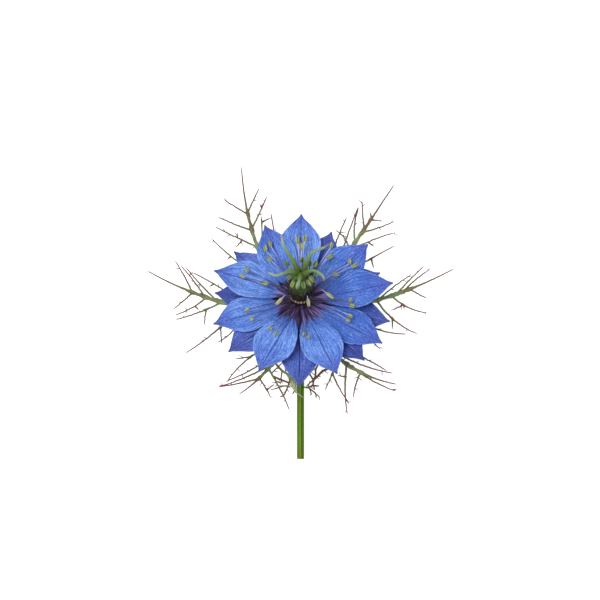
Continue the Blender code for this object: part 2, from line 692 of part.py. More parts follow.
def add_leaves(flower):
    """The two small leaves beside the stem, built in the world's frame."""
    for name, leaf in LEAVES.items():
        arc = (leaf.start, leaf.azimuth, leaf.length, leaf.bend)

        def surface(x, y, radius, lift, leaf=leaf):
            return max(leaf.height + leaf.rise * math.dist((x, y), leaf.start) + lift, radius)

        rib = thread_mesh(arc, (0.0, 0.0), LEAF_RIB_TAPER, surface, 5)
        threads = []
        grow(leaf.twigs, arc, (0.0, 0.0), surface, threads)
        place(name, fused(rib, threads), "bract_olive", flower)


def anther_mesh(centre, direction):
    """A slim oval anther, centred here and pointing this way."""
    build = bmesh.new()
    bmesh.ops.create_uvsphere(build, u_segments=6, v_segments=4, radius=1.0)
    stretch = Matrix.Diagonal((ANTHER_RADIUS, ANTHER_RADIUS, ANTHER_LENGTH / 2, 1.0))
    turn = direction.to_track_quat("Z", "Y").to_matrix().to_4x4()
    matrix = Matrix.Scale(MM, 4) @ Matrix.Translation(centre) @ turn @ stretch
    bmesh.ops.transform(build, matrix=matrix, verts=build.verts)
    return mesh_of(build, "anther")


def stamen_meshes(route, turn=0.0):
    """Filament and anther: the anther carries on past the end of the route, turned to the left."""
    route = [Vector(point) for point in route]
    direction = Matrix.Rotation(math.radians(turn), 3, "Z") @ (route[-1] - route[-2]).normalized()
    steps = len(route) - 1
    radii = [tapered(((0.0, FILAMENT_RADII[0]), (1.0, FILAMENT_RADII[1])), step / steps)
             for step in range(steps + 1)]
    centre = route[-1] + direction * ANTHER_LENGTH * ANTHER_SINK
    return [tube(route, radii), anther_mesh(centre, direction)]


def anther_place(stamen):
    """Where the middle of a spread stamen's anther is."""
    return seen_place(stamen.anther, lambda x, y: cup_height(x, y) + stamen.height)


def spread_route(foot, stamen):
    """An arching filament from the foot, out over the sepals, to just short of the anther's middle."""
    middle = anther_place(stamen)
    facing = Matrix.Rotation(math.radians(stamen.turn), 2) @ (middle - foot).to_2d().normalized()
    end = (middle.to_2d() - facing * ANTHER_LENGTH * ANTHER_SINK).to_3d()
    end.z = cup_height(end.x, end.y) + stamen.height
    crown = (foot + end) / 2
    crown.z = max(foot.z, end.z) + FILAMENT_ARCH
    steps = 4
    return [foot.lerp(crown, step / steps).lerp(crown.lerp(end, step / steps), step / steps)
            for step in range(steps + 1)]


def add_spread_stamens(flower, head):
    """Ten groups of two or three stamens, each group grown from one small foot."""
    for number, stamens in enumerate(STAMEN_GROUPS, 1):
        middle = sum((anther_place(stamen).to_2d().normalized() for stamen in stamens), Vector((0.0, 0.0)))
        foot = polar(azimuth_of(middle), STAMEN_FOOT_REACH, STAMEN_FOOT_HEIGHT)
        build = bmesh.new()
        bmesh.ops.create_uvsphere(build, u_segments=8, v_segments=6, radius=STAMEN_FOOT_RADIUS * MM,
                                  matrix=Matrix.Translation(foot * MM))
        pieces = []
        for stamen in stamens:
            pieces += stamen_meshes(spread_route(foot, stamen), stamen.turn)
        mesh = fused(mesh_of(build, "foot"), pieces)
        place(f"stamens_{number}", mesh, "stamen_green", flower, head)


def collar_mesh():
    """The ring round the foot of the ovary that the inner stamens grow from."""
    bpy.ops.mesh.primitive_torus_add(
        major_segments=22, minor_segments=6,
        major_radius=COLLAR_RADIUS * MM, minor_radius=COLLAR_THICKNESS * MM,
        location=(0.0, 0.0, COLLAR_HEIGHT * MM))
    torus = bpy.context.active_object
    build = bmesh.new()
    build.from_mesh(torus.data)
    bmesh.ops.transform(build, matrix=Matrix.Translation(torus.location), verts=build.verts)
    bpy.data.objects.remove(torus, do_unlink=True)
    return mesh_of(build, "collar")


def upright_route(upright):
    """A filament that climbs close beside the ovary and ends along its anther's lean."""
    lean = math.radians(upright.lean)
    middle = seen_place(upright.anther, lambda x, y: upright.height)
    nearest_reach, farthest_reach = UPRIGHT_REACHES
    reach = min(max(middle.to_2d().length, nearest_reach), farthest_reach)
    anther = Vector((reach, upright.height))
    along = Vector((math.sin(lean), math.cos(lean)))
    end = anther - along * ANTHER_SINK * ANTHER_LENGTH
    bow = end - along * ANTHER_LENGTH / 2
    climb = (COLLAR_RADIUS, COLLAR_HEIGHT), (UPRIGHT_BELLY, 6.5), (UPRIGHT_BELLY, 9.5), bow, end
    return [polar(azimuth_of(middle), reach, height) for reach, height in climb]


def add_inner_stamens(flower, head):
    """The stamens that stand round the ovary or hang from its foot, on one collar."""
    pieces = []
    for upright in UPRIGHTS:
        pieces += stamen_meshes(upright_route(upright))
    for middle, end in HANGING_FILAMENTS:
        azimuth = math.degrees(math.atan2(middle[1], middle[0]))
        root = polar(azimuth, COLLAR_RADIUS, COLLAR_HEIGHT)
        pieces += stamen_meshes(smooth_route((root, middle, end), 6))
    place("stamens_inner", fused(collar_mesh(), pieces), "stamen_green", flower, head)


def ovary_mesh():
    """A ribbed barrel of five lobes that narrows to the top."""
    build = bmesh.new()
    bmesh.ops.create_uvsphere(build, u_segments=4 * OVARY_LOBES, v_segments=10, radius=1.0)
    middle = (OVARY_BASE + OVARY_TOP) / 2
    for vert in build.verts:
        azimuth = math.atan2(vert.co.y, vert.co.x)
        barrel = math.hypot(vert.co.x, vert.co.y) ** 0.75
        lobe = 1.0 + OVARY_LOBE_DEPTH * math.cos(OVARY_LOBES * azimuth)
        reach = OVARY_RADIUS * barrel * lobe * (1.0 - 0.12 * vert.co.z)
        height = middle + vert.co.z * (OVARY_TOP - OVARY_BASE) / 2
        vert.co = Vector((reach * math.cos(azimuth), reach * math.sin(azimuth), height)) * MM
    return mesh_of(build, "ovary")


def add_pistil(flower, head):
    """Ovary and styles, grown as one piece on top of the receptacle."""
    styles = []
    for route in STYLE_ROUTES:
        knots = [seen_place((across, down), lambda x, y: height) for across, down, height in route]
        points = smooth_route(knots, 8)
        steps = len(points) - 1
        radii = [tapered(((0.0, STYLE_RADII[0]), (1.0, STYLE_RADII[1])), step / steps)
                 for step in range(steps + 1)]
        styles.append(tube(points, radii, sides=6))
    place("pistil", fused(ovary_mesh(), styles), "pistil_green", flower, head)


def main():
    """Builds the whole flower."""
    flower = clear_scene()
    head = head_empty(flower)
    add_stem(flower)
    add_bracts(flower, head)
    add_leaves(flower)
    add_sepals(flower, head)
    add_spread_stamens(flower, head)
    add_inner_stamens(flower, head)
    add_pistil(flower, head)


main()
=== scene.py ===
"""Looks of the nigella flower: veined sepals, thread-like bracts, ridged stem, stamens and pistil.

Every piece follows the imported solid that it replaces. The bloom is laid out in its own frame, in
millimetres: x and y lie across the flower, with y towards the far side, and z is its axis. Meshes are
then put in the world, in metres. Azimuths are degrees, anticlockwise from the flower's right.
"""

import logging
import math
import random
from collections.abc import Callable, Iterator, Sequence
from dataclasses import dataclass, field
from enum import Enum
from typing import ClassVar, Self

import bmesh
import bpy
from mathutils import Matrix, Vector


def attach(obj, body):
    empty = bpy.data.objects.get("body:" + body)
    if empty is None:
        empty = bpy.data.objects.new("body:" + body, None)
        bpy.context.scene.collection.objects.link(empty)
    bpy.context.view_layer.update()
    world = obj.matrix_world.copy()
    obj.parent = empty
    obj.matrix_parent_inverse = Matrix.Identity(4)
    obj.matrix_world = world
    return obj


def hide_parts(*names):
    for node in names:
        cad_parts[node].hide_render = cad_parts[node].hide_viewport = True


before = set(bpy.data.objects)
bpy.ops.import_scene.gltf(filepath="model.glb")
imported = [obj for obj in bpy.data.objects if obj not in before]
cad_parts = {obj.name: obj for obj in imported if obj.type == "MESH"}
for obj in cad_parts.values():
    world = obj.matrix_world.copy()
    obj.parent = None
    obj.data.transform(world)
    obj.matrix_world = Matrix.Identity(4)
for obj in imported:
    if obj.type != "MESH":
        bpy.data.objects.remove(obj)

LOG = logging.getLogger("nigella")
MM = 0.001
BODY = "root"

# The bloom's place in mm, its lean in radians, and the matrix that puts it in the world in metres
HEAD_CENTRE = Vector((0.1, 3.3, 16.1))
HEAD_LEAN = math.radians(30.0)
HEAD_AXIS = Vector((0.0, math.sin(HEAD_LEAN), math.cos(HEAD_LEAN)))
HEAD = Matrix.Translation(HEAD_CENTRE * MM) @ Matrix.Rotation(-HEAD_LEAN, 4, "X")
HEAD_TURN = Matrix.Rotation(-HEAD_LEAN, 3, "X")

Piece = bpy.types.Object
Mesh = bpy.types.Mesh
Material = bpy.types.Material
Tree = bpy.types.NodeTree
Triple = tuple[float, float, float]
Colour = Triple
Stop = tuple[float, Colour]
Pair = tuple[float, float]
Pixel = Pair
Taper = Sequence[Pair]


def linear(colour: Colour) -> tuple[float, float, float, float]:
    """Turns a seen colour into the linear one that a shader takes.

    Args:
        colour: sRGB channels from 0 to 255.

    Returns:
        Linear red, green, blue and an alpha of 1.
    """
    shares = [channel / 255.0 for channel in colour]
    values = [s / 12.92 if s <= 0.04045 else ((s + 0.055) / 1.055) ** 2.4 for s in shares]
    return (*values, 1.0)


def tapered(taper: Taper, fraction: float) -> float:
    """Reads a taper.

    Args:
        taper: points of fraction and value, in order.
        fraction: where along it to read.

    Returns:
        The value there, on a straight line between its two neighbours.
    """
    for (low, first), (high, last) in zip(taper, taper[1:]):
        if fraction <= high:
            share = max(0.0, (fraction - low) / (high - low))
            return first + (last - first) * share
    return taper[-1][1]


def polar(azimuth: float, reach: float, height: float) -> Vector:
    """A place in the bloom's frame from its azimuth, reach and height."""
    angle = math.radians(azimuth)
    return Vector((reach * math.cos(angle), reach * math.sin(angle), height))


def azimuth_of(place: Vector) -> float:
    """The azimuth of a place in the bloom's frame, in degrees."""
    return math.degrees(math.atan2(place.y, place.x))


def between(ends: Pair, share: float) -> float:
    """The value at this share of the way between two ends."""
    return ends[0] + (ends[1] - ends[0]) * share


@dataclass(frozen=True)
class Picture:
    """The reference picture as a view straight down, which places are read from.

    Its pixels count from its top left corner. The bloom is as wide as said, at its own height above
    the table, and one pixel looks down on one place from the eye's height. Lengths are mm.
    """

    bloom_width: float = 46.0
    bloom_pixels: float = 179.7
    bloom_height: float = 16.0
    eye_pixel: Pixel = (300.0, 300.0)
    eye_place: Pair = (-0.026, 3.277)
    eye_height: float = 900.0
    steps: int = 40

    def seen(self, pixel: Pixel, surface: Callable[[float, float], float]) -> Vector:
        """Finds where the line of sight through a pixel meets a surface.

        Args:
            pixel: the pixel, across and down.
            surface: the surface's height over a place, in the bloom's frame.

        Returns:
            The place in the bloom's frame.
        """
        height = HEAD_CENTRE.z
        place = Vector((0.0, 0.0, 0.0))
        for _ in range(self.steps):
            depth = (self.eye_height - height) / (self.eye_height - self.bloom_height)
            scale = self.bloom_width / self.bloom_pixels * depth
            across = self.eye_place[0] + (pixel[0] - self.eye_pixel[0]) * scale
            away = self.eye_place[1] - (pixel[1] - self.eye_pixel[1]) * scale
            place = HEAD_TURN.inverted() @ (Vector((across, away, height)) - HEAD_CENTRE)
            place.z = surface(place.x, place.y)
            height = (HEAD_CENTRE + HEAD_TURN @ place).z
        return place


PICTURE = Picture()


def smooth_route(points: Sequence[Sequence[float]], count: int) -> list[Vector]:
    """Runs a Catmull-Rom curve through a few points.

    Args:
        points: the points that it passes through.
        count: how many places to return.

    Returns:
        Places along the curve, both ends among them.
    """
    knots = [Vector(point) for point in points]
    ends = [knots[0] * 2 - knots[1], *knots, knots[-1] * 2 - knots[-2]]
    route = []
    for index in range(count):
        span = index * (len(knots) - 1) / (count - 1)
        start = min(int(span), len(knots) - 2)
        t = span - start
        a, b, c, d = ends[start:start + 4]
        route.append(0.5 * (2 * b + (c - a) * t + (2 * a - 5 * b + 4 * c - d) * t * t
                            + (3 * b - a - 3 * c + d) * t ** 3))
    return route


def arithmetic(operation: str, swapped: bool = False) -> Callable[["Field", "Value"], "Field"]:
    """Makes an operator of fields.

    Args:
        operation: what its Math node does.
        swapped: whether the other value comes first.

    Returns:
        The operator, as a method.
    """
    def operator(one: "Field", other: "Value") -> "Field":
        """The result for these two."""
        return one.graph.math(operation, *((other, one) if swapped else (one, other)))

    return operator


@dataclass(frozen=True)
class Field:
    """A value that a node puts out. Arithmetic on it adds Math nodes to its graph."""

    graph: "Graph"
    socket: bpy.types.NodeSocket

    __add__ = arithmetic("ADD")
    __radd__ = arithmetic("ADD", swapped=True)
    __sub__ = arithmetic("SUBTRACT")
    __rsub__ = arithmetic("SUBTRACT", swapped=True)
    __mul__ = arithmetic("MULTIPLY")
    __rmul__ = arithmetic("MULTIPLY", swapped=True)
    __truediv__ = arithmetic("DIVIDE")
    __rtruediv__ = arithmetic("DIVIDE", swapped=True)
    __pow__ = arithmetic("POWER")

    def __abs__(self) -> "Field":
        """Its size without its sign."""
        return self.graph.math("ABSOLUTE", self)

    def eased(self, low: float, high: float) -> "Field":
        """Eases it from 0 to 1.

        Args:
            low: where the result is 0. It may be above high.
            high: where the result is 1.

        Returns:
            The eased field.
        """
        if low > high:
            return 1.0 - self.eased(high, low)
        feeds = {"Value": self, "From Min": low, "From Max": high}
        return self.graph.call("ShaderNodeMapRange", feeds, interpolation_type="SMOOTHSTEP")


Value = Field | float


@dataclass(frozen=True)
class Graph:
    """A node tree that is being wired, of shader nodes or of Geometry Nodes."""

    KIND: ClassVar[str] = "ShaderNodeTree"

    tree: Tree

    @classmethod
    def group(cls, name: str) -> Self:
        """A new node group of this name."""
        return cls(bpy.data.node_groups.new(name, cls.KIND))

    def node(self, kind: str, **settings: object) -> bpy.types.Node:
        """Adds a node.

        Args:
            kind: its type.
            settings: its own settings.

        Returns:
            The node.
        """
        made = self.tree.nodes.new(kind)
        for name, value in settings.items():
            setattr(made, name, value)
        return made

    def feed(self, socket: bpy.types.NodeSocket, value: object) -> None:
        """Feeds an input.

        Args:
            socket: the input.
            value: a field to link, or a plain value to set.
        """
        if isinstance(value, Field):
            self.tree.links.new(value.socket, socket)
        else:
            socket.default_value = value

    def call(self, kind: str, feeds: dict[str | int, object], out: str | int = 0,
             **settings: object) -> Field:
        """Adds a node and feeds it.

        Args:
            kind: the node's type.
            feeds: a value or field for each input, by name or place.
            out: the output to take.
            settings: the node's own settings.

        Returns:
            The chosen output.
        """
        made = self.node(kind, **settings)
        for name, value in feeds.items():
            self.feed(made.inputs[name], value)
        return Field(self, made.outputs[out])

    def math(self, operation: str, *values: Value) -> Field:
        """One Math node on these values."""
        return self.call("ShaderNodeMath", dict(enumerate(values)), operation=operation)

    def vector(self, x: Value, y: Value, z: Value) -> Field:
        """A vector of three values."""
        return self.call("ShaderNodeCombineXYZ", {"X": x, "Y": y, "Z": z})

    def parts(self, vector: Field) -> tuple[Field, Field, Field]:
        """The three values of a vector."""
        outputs = self.call("ShaderNodeSeparateXYZ", {0: vector}).socket.node.outputs
        return tuple(Field(self, output) for output in outputs)

    def noise(self, place: Field, scale: Value, detail: float = 2.0) -> Field:
        """Smooth noise about 0.5 at a place."""
        feeds = {"Vector": place, "Scale": scale, "Detail": detail}
        return self.call("ShaderNodeTexNoise", feeds)

    def carried(self, name: str) -> Field:
        """A number that the mesh carries under this name."""
        return self.call("ShaderNodeAttribute", {}, "Fac", attribute_name=name)

    def inputs(self, **kinds: object) -> dict[str, Field]:
        """Adds named inputs to a group.

        Args:
            kinds: for each input, its default: a number, or the kind of its socket.

        Returns:
            A field for each input.
        """
        entry = self.node("NodeGroupInput")
        for name, default in kinds.items():
            kind = "NodeSocket" + (default if isinstance(default, str) else "Float")
            made = self.tree.interface.new_socket(name, in_out="INPUT", socket_type=kind)
            if not isinstance(default, str):
                made.default_value = default
        return {name: Field(self, entry.outputs[name]) for name in kinds}

    def outputs(self, kind: str, **fields: Field) -> None:
        """Adds named outputs to a group.

        Args:
            kind: the kind of their sockets.
            fields: what feeds each.
        """
        end = self.node("NodeGroupOutput")
        for name, value in fields.items():
            self.tree.interface.new_socket(name, in_out="OUTPUT", socket_type="NodeSocket" + kind)
            self.feed(end.inputs[name], value)

    def layered(self, base: Field | Colour, *layers: tuple[Value, Field | Colour]) -> Field:
        """Lays colours over a base.

        Args:
            base: the colour underneath.
            layers: how much of each colour there is, and the colour.

        Returns:
            The colour that shows.
        """
        for share, colour in layers:
            made = self.node("ShaderNodeMix", data_type="RGBA")
            self.feed(made.inputs["Factor"], share)
            sockets = [socket for socket in made.inputs if socket.type == "RGBA"]
            for socket, shown in zip(sockets, (base, colour)):
                self.feed(socket, shown if isinstance(shown, Field) else linear(shown))
            base = Field(self, next(socket for socket in made.outputs if socket.type == "RGBA"))
        return base

    def ramp(self, value: Field, stops: Sequence[Stop]) -> Field:
        """Reads a colour from a ramp.

        Args:
            value: where to read it, from 0 to 1.
            stops: the ramp's places and seen colours.

        Returns:
            The colour there.
        """
        shown = self.call("ShaderNodeValToRGB", {"Fac": value}, "Color")
        elements = shown.socket.node.color_ramp.elements
        while len(elements) < len(stops):
            elements.new(1.0)
        for element, (place, colour) in zip(elements, stops):
            element.position = place
            element.color = linear(colour)
        return shown

    def use(self, group: "Graph", feeds: dict[str, object]) -> dict[str, Field]:
        """The outputs by name of a shader node group with these feeds."""
        outputs = self.call("ShaderNodeGroup", feeds, node_tree=group.tree).socket.node.outputs
        return {output.name: Field(self, output) for output in outputs}


def fanned(across: Field, along: Field, start: float = 0.6, growth: float = 0.5) -> Field:
    """How far out in a fan a place is, for a fan this wide at its start that grows by this much."""
    return across / (start + growth * along)


@dataclass(frozen=True)
class Veins:
    """Veins of a sepal, which fan out from the claw and fork towards the margin.

    Their widths are shares of the spacing. The offset puts one vein in the middle.
    """

    spacing: float = 0.17
    offset: float = 20.5
    fan_start: float = 0.5
    fan_growth: float = 0.8
    sway: float = 0.16
    width: float = 0.24
    fork_width: float = 0.3
    fork_share: float = 0.6
    forked: Pair = (0.38, 0.62)
    midrib: float = 0.085

    def lines(self, graph: Graph, fan: Field, spacing: float, width: float) -> Field:
        """Soft lines across a fan."""
        share = graph.math("FRACT", fan / spacing + self.offset)
        return abs(share - 0.5).eased(width, 0.0)

    def masks(self, graph: Graph, across: Field, along: Field, petal: Field) -> tuple[Field, Field]:
        """Finds the veins and the midrib.

        Args:
            graph: the tree to build in.
            across: -1 at the left margin, 0 on the midrib, 1 at the right margin.
            along: 0 at the root and 1 at the tip.
            petal: a number of its own for each sepal.

        Returns:
            Two masks, 1 on a vein and 1 on the midrib.
        """
        wander = graph.noise(graph.vector(across * 1.6, along * 3.0, petal * 7.0), 1.0) - 0.5
        fan = fanned(across, along, self.fan_start, self.fan_growth) + wander * self.sway
        veins = self.lines(graph, fan, self.spacing, self.width)
        forks = self.lines(graph, fan, self.spacing / 2, self.fork_width)
        vein = graph.math("MAXIMUM", veins, forks * (along.eased(*self.forked) * self.fork_share))
        return vein, abs(across).eased(self.midrib, 0.0)


class Effects:
    """Shader node groups that several finishes share."""

    def __init__(self) -> None:
        """Builds each group once."""
        self.veins = self.vein_group()
        self.mottle = self.mottle_group()
        self.relief = self.relief_group()

    @staticmethod
    def vein_group() -> Graph:
        """Veins, midrib and the fine net between them, from a sepal's own coordinates.

        Returns:
            The group.
        """
        graph = Graph.group("Sepal veins")
        given = graph.inputs(Across=0.0, Along=0.0, Petal=0.0)
        vein, midrib = Veins().masks(graph, given["Across"], given["Along"], given["Petal"])
        fan = fanned(given["Across"], given["Along"])
        place = graph.vector(fan * 11.0, given["Along"] * 30.0, given["Petal"] * 3.0)
        wander = graph.call("ShaderNodeTexNoise", {"Vector": place, "Scale": 0.6, "Detail": 2.0}, "Color")
        bent = graph.call("ShaderNodeVectorMath", {0: place, 1: wander}, operation="ADD")
        edge = graph.call("ShaderNodeTexVoronoi", {"Vector": bent, "Scale": 1.0}, "Distance",
                          feature="DISTANCE_TO_EDGE")
        graph.outputs("Float", Vein=vein, Midrib=midrib, Net=edge.eased(0.2, 0.02))
        return graph

    @staticmethod
    def mottle_group() -> Graph:
        """Patches and fine cells of plant tissue, from object coordinates.

        Returns:
            The group.
        """
        graph = Graph.group("Plant mottle")
        given = graph.inputs(Patches=600.0, Cells=4500.0)
        place = graph.call("ShaderNodeTexCoord", {}, "Object")
        patches = graph.noise(place, given["Patches"], 3.0)
        cells = graph.call("ShaderNodeTexVoronoi", {"Vector": place, "Scale": given["Cells"]}, "Distance")
        graph.outputs("Float", Patch=patches.eased(0.3, 0.7), Cell=cells)
        return graph

    @staticmethod
    def relief_group() -> Graph:
        """A normal from a height in millimetres.

        Returns:
            The group.
        """
        graph = Graph.group("Fine relief")
        given = graph.inputs(Height=0.0, Strength=1.0)
        feeds = {"Height": given["Height"], "Strength": given["Strength"], "Distance": MM}
        graph.outputs("Vector", Normal=graph.call("ShaderNodeBump", feeds))
        return graph


# A surface's colour, the fine cells that roughen it, and its relief in millimetres
Skin = tuple[Field, Field, Field]


@dataclass(frozen=True)
class Finish:
    """A surface of the flower: what every finish has."""

    name: str
    roughness: float = 0.55
    sheen: float = 0.0
    flesh: float = 0.12
    specular: float = 0.5
    grain: float = 0.2
    relief: float = 0.8
    sheen_roughness: float = 0.45
    flesh_depth: float = 0.5 * MM
    flesh_spread: Triple = (0.6, 0.8, 1.0)

    def start(self) -> tuple[Material, Graph, bpy.types.Node]:
        """A new Principled material.

        Returns:
            The material, its graph and its shader node.
        """
        material = bpy.data.materials.new(self.name)
        material.use_nodes = True
        shader = material.node_tree.nodes["Principled BSDF"]
        values = {
            "Specular IOR Level": self.specular, "Sheen Weight": self.sheen,
            "Sheen Roughness": self.sheen_roughness, "Subsurface Weight": self.flesh,
            "Subsurface Radius": self.flesh_spread, "Subsurface Scale": self.flesh_depth}
        for name, value in values.items():
            shader.inputs[name].default_value = value
        return material, Graph(material.node_tree), shader

    def surface(self, graph: Graph, effects: Effects) -> Skin:
        """What the surface shows."""
        raise NotImplementedError

    def dress(self, effects: Effects) -> Material:
        """Makes the material.

        Args:
            effects: the shared node groups.

        Returns:
            The finished material.
        """
        material, graph, shader = self.start()
        colour, cell, height = self.surface(graph, effects)
        graph.feed(shader.inputs["Base Color"], colour)
        graph.feed(shader.inputs["Roughness"], self.roughness + cell * self.grain)
        bump = graph.use(effects.relief, {"Height": height, "Strength": self.relief})
        graph.feed(shader.inputs["Normal"], bump["Normal"])
        return material


@dataclass(frozen=True)
class SepalFinish(Finish):
    """Blue sepal: dark purple claw with lilac streaks, finely veined blade, more violet at the tip."""

    claw: Colour = (46, 18, 62)
    claw_streak: Colour = (144, 126, 194)
    base: Colour = (62, 106, 190)
    middle: Colour = (68, 112, 200)
    tip: Colour = (74, 90, 186)
    light: Colour = (132, 172, 240)
    vein: Colour = (34, 50, 136)
    roughness: float = 0.6
    sheen: float = 0.1
    flesh: float = 0.15
    specular: float = 0.25
    grain: float = 0.15
    relief: float = 0.9
    claw_end: Pair = (0.235, 0.14)
    vein_depth: float = 0.05
    midrib_depth: float = 0.08

    def claw_colour(self, graph: Graph, across: Field, along: Field, petal: Field) -> Field:
        """The claw's dark purple with fine lilac rays.

        Args:
            graph: the material's graph.
            across: -1 to 1 from margin to margin.
            along: 0 to 1 from root to tip.
            petal: the sepal's own number.

        Returns:
            A colour.
        """
        rays = graph.noise(graph.vector(across * 3.2, along * 2.0, petal * 5.0), 1.0)
        shade = graph.noise(graph.vector(across * 1.5, along * 9.0, petal * 2.0), 1.0)
        share = rays.eased(0.46, 0.6) * along.eased(0.0, 0.16) * (0.5 + shade * 0.8)
        return graph.layered(self.claw, (share, self.claw_streak))

    def blade_colour(self, graph: Graph, across: Field, along: Field, light: Field) -> Field:
        """The blade's blue before its veins, with this much light colour and a painted highlight along its
        margins.
        """
        # Painted highlight: the light colour along both margins of the blade
        painted_rim_highlight = abs(across).eased(0.84, 1.0) * along.eased(0.3, 0.5) * 0.25
        return graph.layered(self.base, (along.eased(0.26, 0.58), self.middle),
                             (along.eased(0.62, 1.0), self.tip), (light + painted_rim_highlight, self.light))

    def surface(self, graph: Graph, effects: Effects) -> Skin:
        """Works out what the surface shows.

        Args:
            graph: the material's graph.
            effects: the shared node groups.

        Returns:
            Its colour, cells and relief.
        """
        u, along, _ = graph.parts(graph.call("ShaderNodeUVMap", {}, uv_map="blade"))
        across = u * 2.0 - 1.0
        petal = graph.carried("petal")
        # The tone that the mesh carries is painted light and shade: above 0 it lightens the sepal, below 0 it
        # darkens it
        tone = graph.carried("tone")
        veins = graph.use(effects.veins, {"Across": across, "Along": along, "Petal": petal})
        mottle = graph.use(effects.mottle, {"Patches": 260.0, "Cells": 3600.0})
        fan = fanned(across, along)
        streaks = graph.noise(graph.vector(fan * 13.0, along * 6.0, petal * 3.0), 1.0, 3.0)
        flecks = graph.noise(graph.vector(fan * 18.0, along * 34.0, petal * 4.0), 1.0)
        inside = along.eased(0.24, 0.45) * along.eased(1.0, 0.62)
        # The light colour comes from real patches, streaks and flecks, and from the tone's painted light
        glow = (mottle["Patch"] * 0.35 + tone * 0.55) * inside
        glow = glow + streaks.eased(0.5, 0.66) * 0.3 + flecks.eased(0.5, 0.66) * 0.42
        darker = (
            # Painted shade from a tone below 0, then real streaks, flecks, veins, net and midrib
            tone.eased(0.0, -1.0) * 0.4,
            streaks.eased(0.5, 0.36) * 0.42,
            flecks.eased(0.48, 0.34) * 0.34,
            veins["Vein"] * (along.eased(0.55, 0.9) * 0.3 + 0.34),
            veins["Net"] * 0.24,
            veins["Midrib"] * 0.7)
        blade = graph.layered(self.blade_colour(graph, across, along, glow),
                              *((share, self.vein) for share in darker))
        reach = along + (streaks - 0.5) * 0.24 - veins["Vein"] * 0.05 - across * across * 0.02
        claw = self.claw_colour(graph, across, along, petal)
        colour = graph.layered(blade, (reach.eased(*self.claw_end), claw))
        height = (mottle["Cell"] * 0.035 - veins["Vein"] * self.vein_depth
                  - veins["Midrib"] * self.midrib_depth + streaks * 0.07)
        return colour, mottle["Cell"], height


@dataclass(frozen=True)
class ThreadFinish(Finish):
    """A thin green thread whose colour changes with age along it."""

    stops: tuple[Stop, ...] = ()
    flush: Colour = (132, 74, 82)
    flush_share: float = 0.4

    def surface(self, graph: Graph, effects: Effects) -> Skin:
        """Works out what the surface shows.

        Args:
            graph: the material's graph.
            effects: the shared node groups.

        Returns:
            Its colour, cells and relief.
        """
        mottle = graph.use(effects.mottle, {"Patches": 420.0, "Cells": 6000.0})
        age = graph.carried("age")
        colour = graph.ramp(age + (mottle["Patch"] - 0.5) * 0.16, self.stops)
        colour = graph.layered(colour, (mottle["Patch"].eased(0.6, 1.0) * self.flush_share, self.flush))
        return colour, mottle["Cell"], mottle["Cell"] * 0.03


@dataclass(frozen=True)
class StalkFinish(Finish):
    """Ridged green stem, with a pale pith where it is cut, a painted highlight left of its middle and painted
    shade on its right.
    """

    groove: Colour = (46, 70, 0)
    ridge: Colour = (80, 114, 4)
    flush: Colour = (104, 70, 24)
    pith: Colour = (176, 192, 120)
    rind: Colour = (104, 142, 32)
    # Dark purple painted shade for the stem's top inside the bloom, under the sepals
    inside: Colour = (44, 24, 40)
    cut_y: float = -38.1 * MM
    axis: Pair = (0.1 * MM, 0.93 * MM)
    radius: float = 0.93 * MM
    stained: float = 2.2 * MM

    def surface(self, graph: Graph, effects: Effects) -> Skin:
        """Works out what the surface shows.

        Args:
            graph: the material's graph.
            effects: the shared node groups.

        Returns:
            Its colour, cells and relief.
        """
        x, y, z = graph.parts(graph.call("ShaderNodeTexCoord", {}, "Object"))
        mottle = graph.use(effects.mottle, {"Patches": 300.0, "Cells": 5000.0})
        off_x = (x - self.axis[0]) / self.radius
        off_z = (z - self.axis[1]) / self.radius
        fibres = graph.noise(graph.vector(x * 4000.0, y * 160.0, z * 4000.0), 1.0)
        # Painted highlight: a light stripe just left of the stem's middle, where the light falls
        painted_highlight_stripe = abs(off_x + 0.15).eased(0.42, 0.1)
        skin = graph.layered(
            self.groove,
            (graph.carried("ridge"), self.ridge),
            (fibres.eased(0.5, 0.7) * 0.4, self.rind),
            (painted_highlight_stripe * 0.6, self.rind),
            # Painted shade: the stem's right side is darkened with the groove colour
            (off_x.eased(0.2, 0.8) * 0.5, self.groove),
            (mottle["Patch"].eased(0.55, 1.0) * 0.3, self.flush),
            (y.eased(self.cut_y + self.stained, self.cut_y) * 0.35, self.flush),
            # Painted shade: where the age is 1, inside the bloom, the stem is dark purple
            (graph.carried("age"), self.inside))
        out = graph.math("SQRT", off_x * off_x + off_z * off_z)
        face = graph.layered(self.pith, (out.eased(0.45, 0.75), self.rind))
        colour = graph.layered(skin, (y.eased(self.cut_y + 0.04 * MM, self.cut_y + 0.01 * MM), face))
        return colour, mottle["Cell"], fibres * 0.05 + mottle["Cell"] * 0.02


@dataclass(frozen=True)
class AntherFinish(Finish):
    """Anther: two pollen sacs with a darker furrow between them."""

    sac: Colour = (128, 138, 78)
    light: Colour = (172, 180, 124)
    furrow: Colour = (72, 58, 24)
    roughness: float = 0.6
    relief: float = 1.0

    def surface(self, graph: Graph, effects: Effects) -> Skin:
        """Works out what the surface shows.

        Args:
            graph: the material's graph.
            effects: the shared node groups.

        Returns:
            Its colour, cells and relief.
        """
        mottle = graph.use(effects.mottle, {"Patches": 900.0, "Cells": 9000.0})
        furrow = graph.carried("furrow")
        colour = graph.layered(self.sac, (mottle["Patch"] * 0.5, self.light), (furrow, self.furrow))
        return colour, mottle["Cell"], mottle["Cell"] * 0.05 - furrow * 0.04


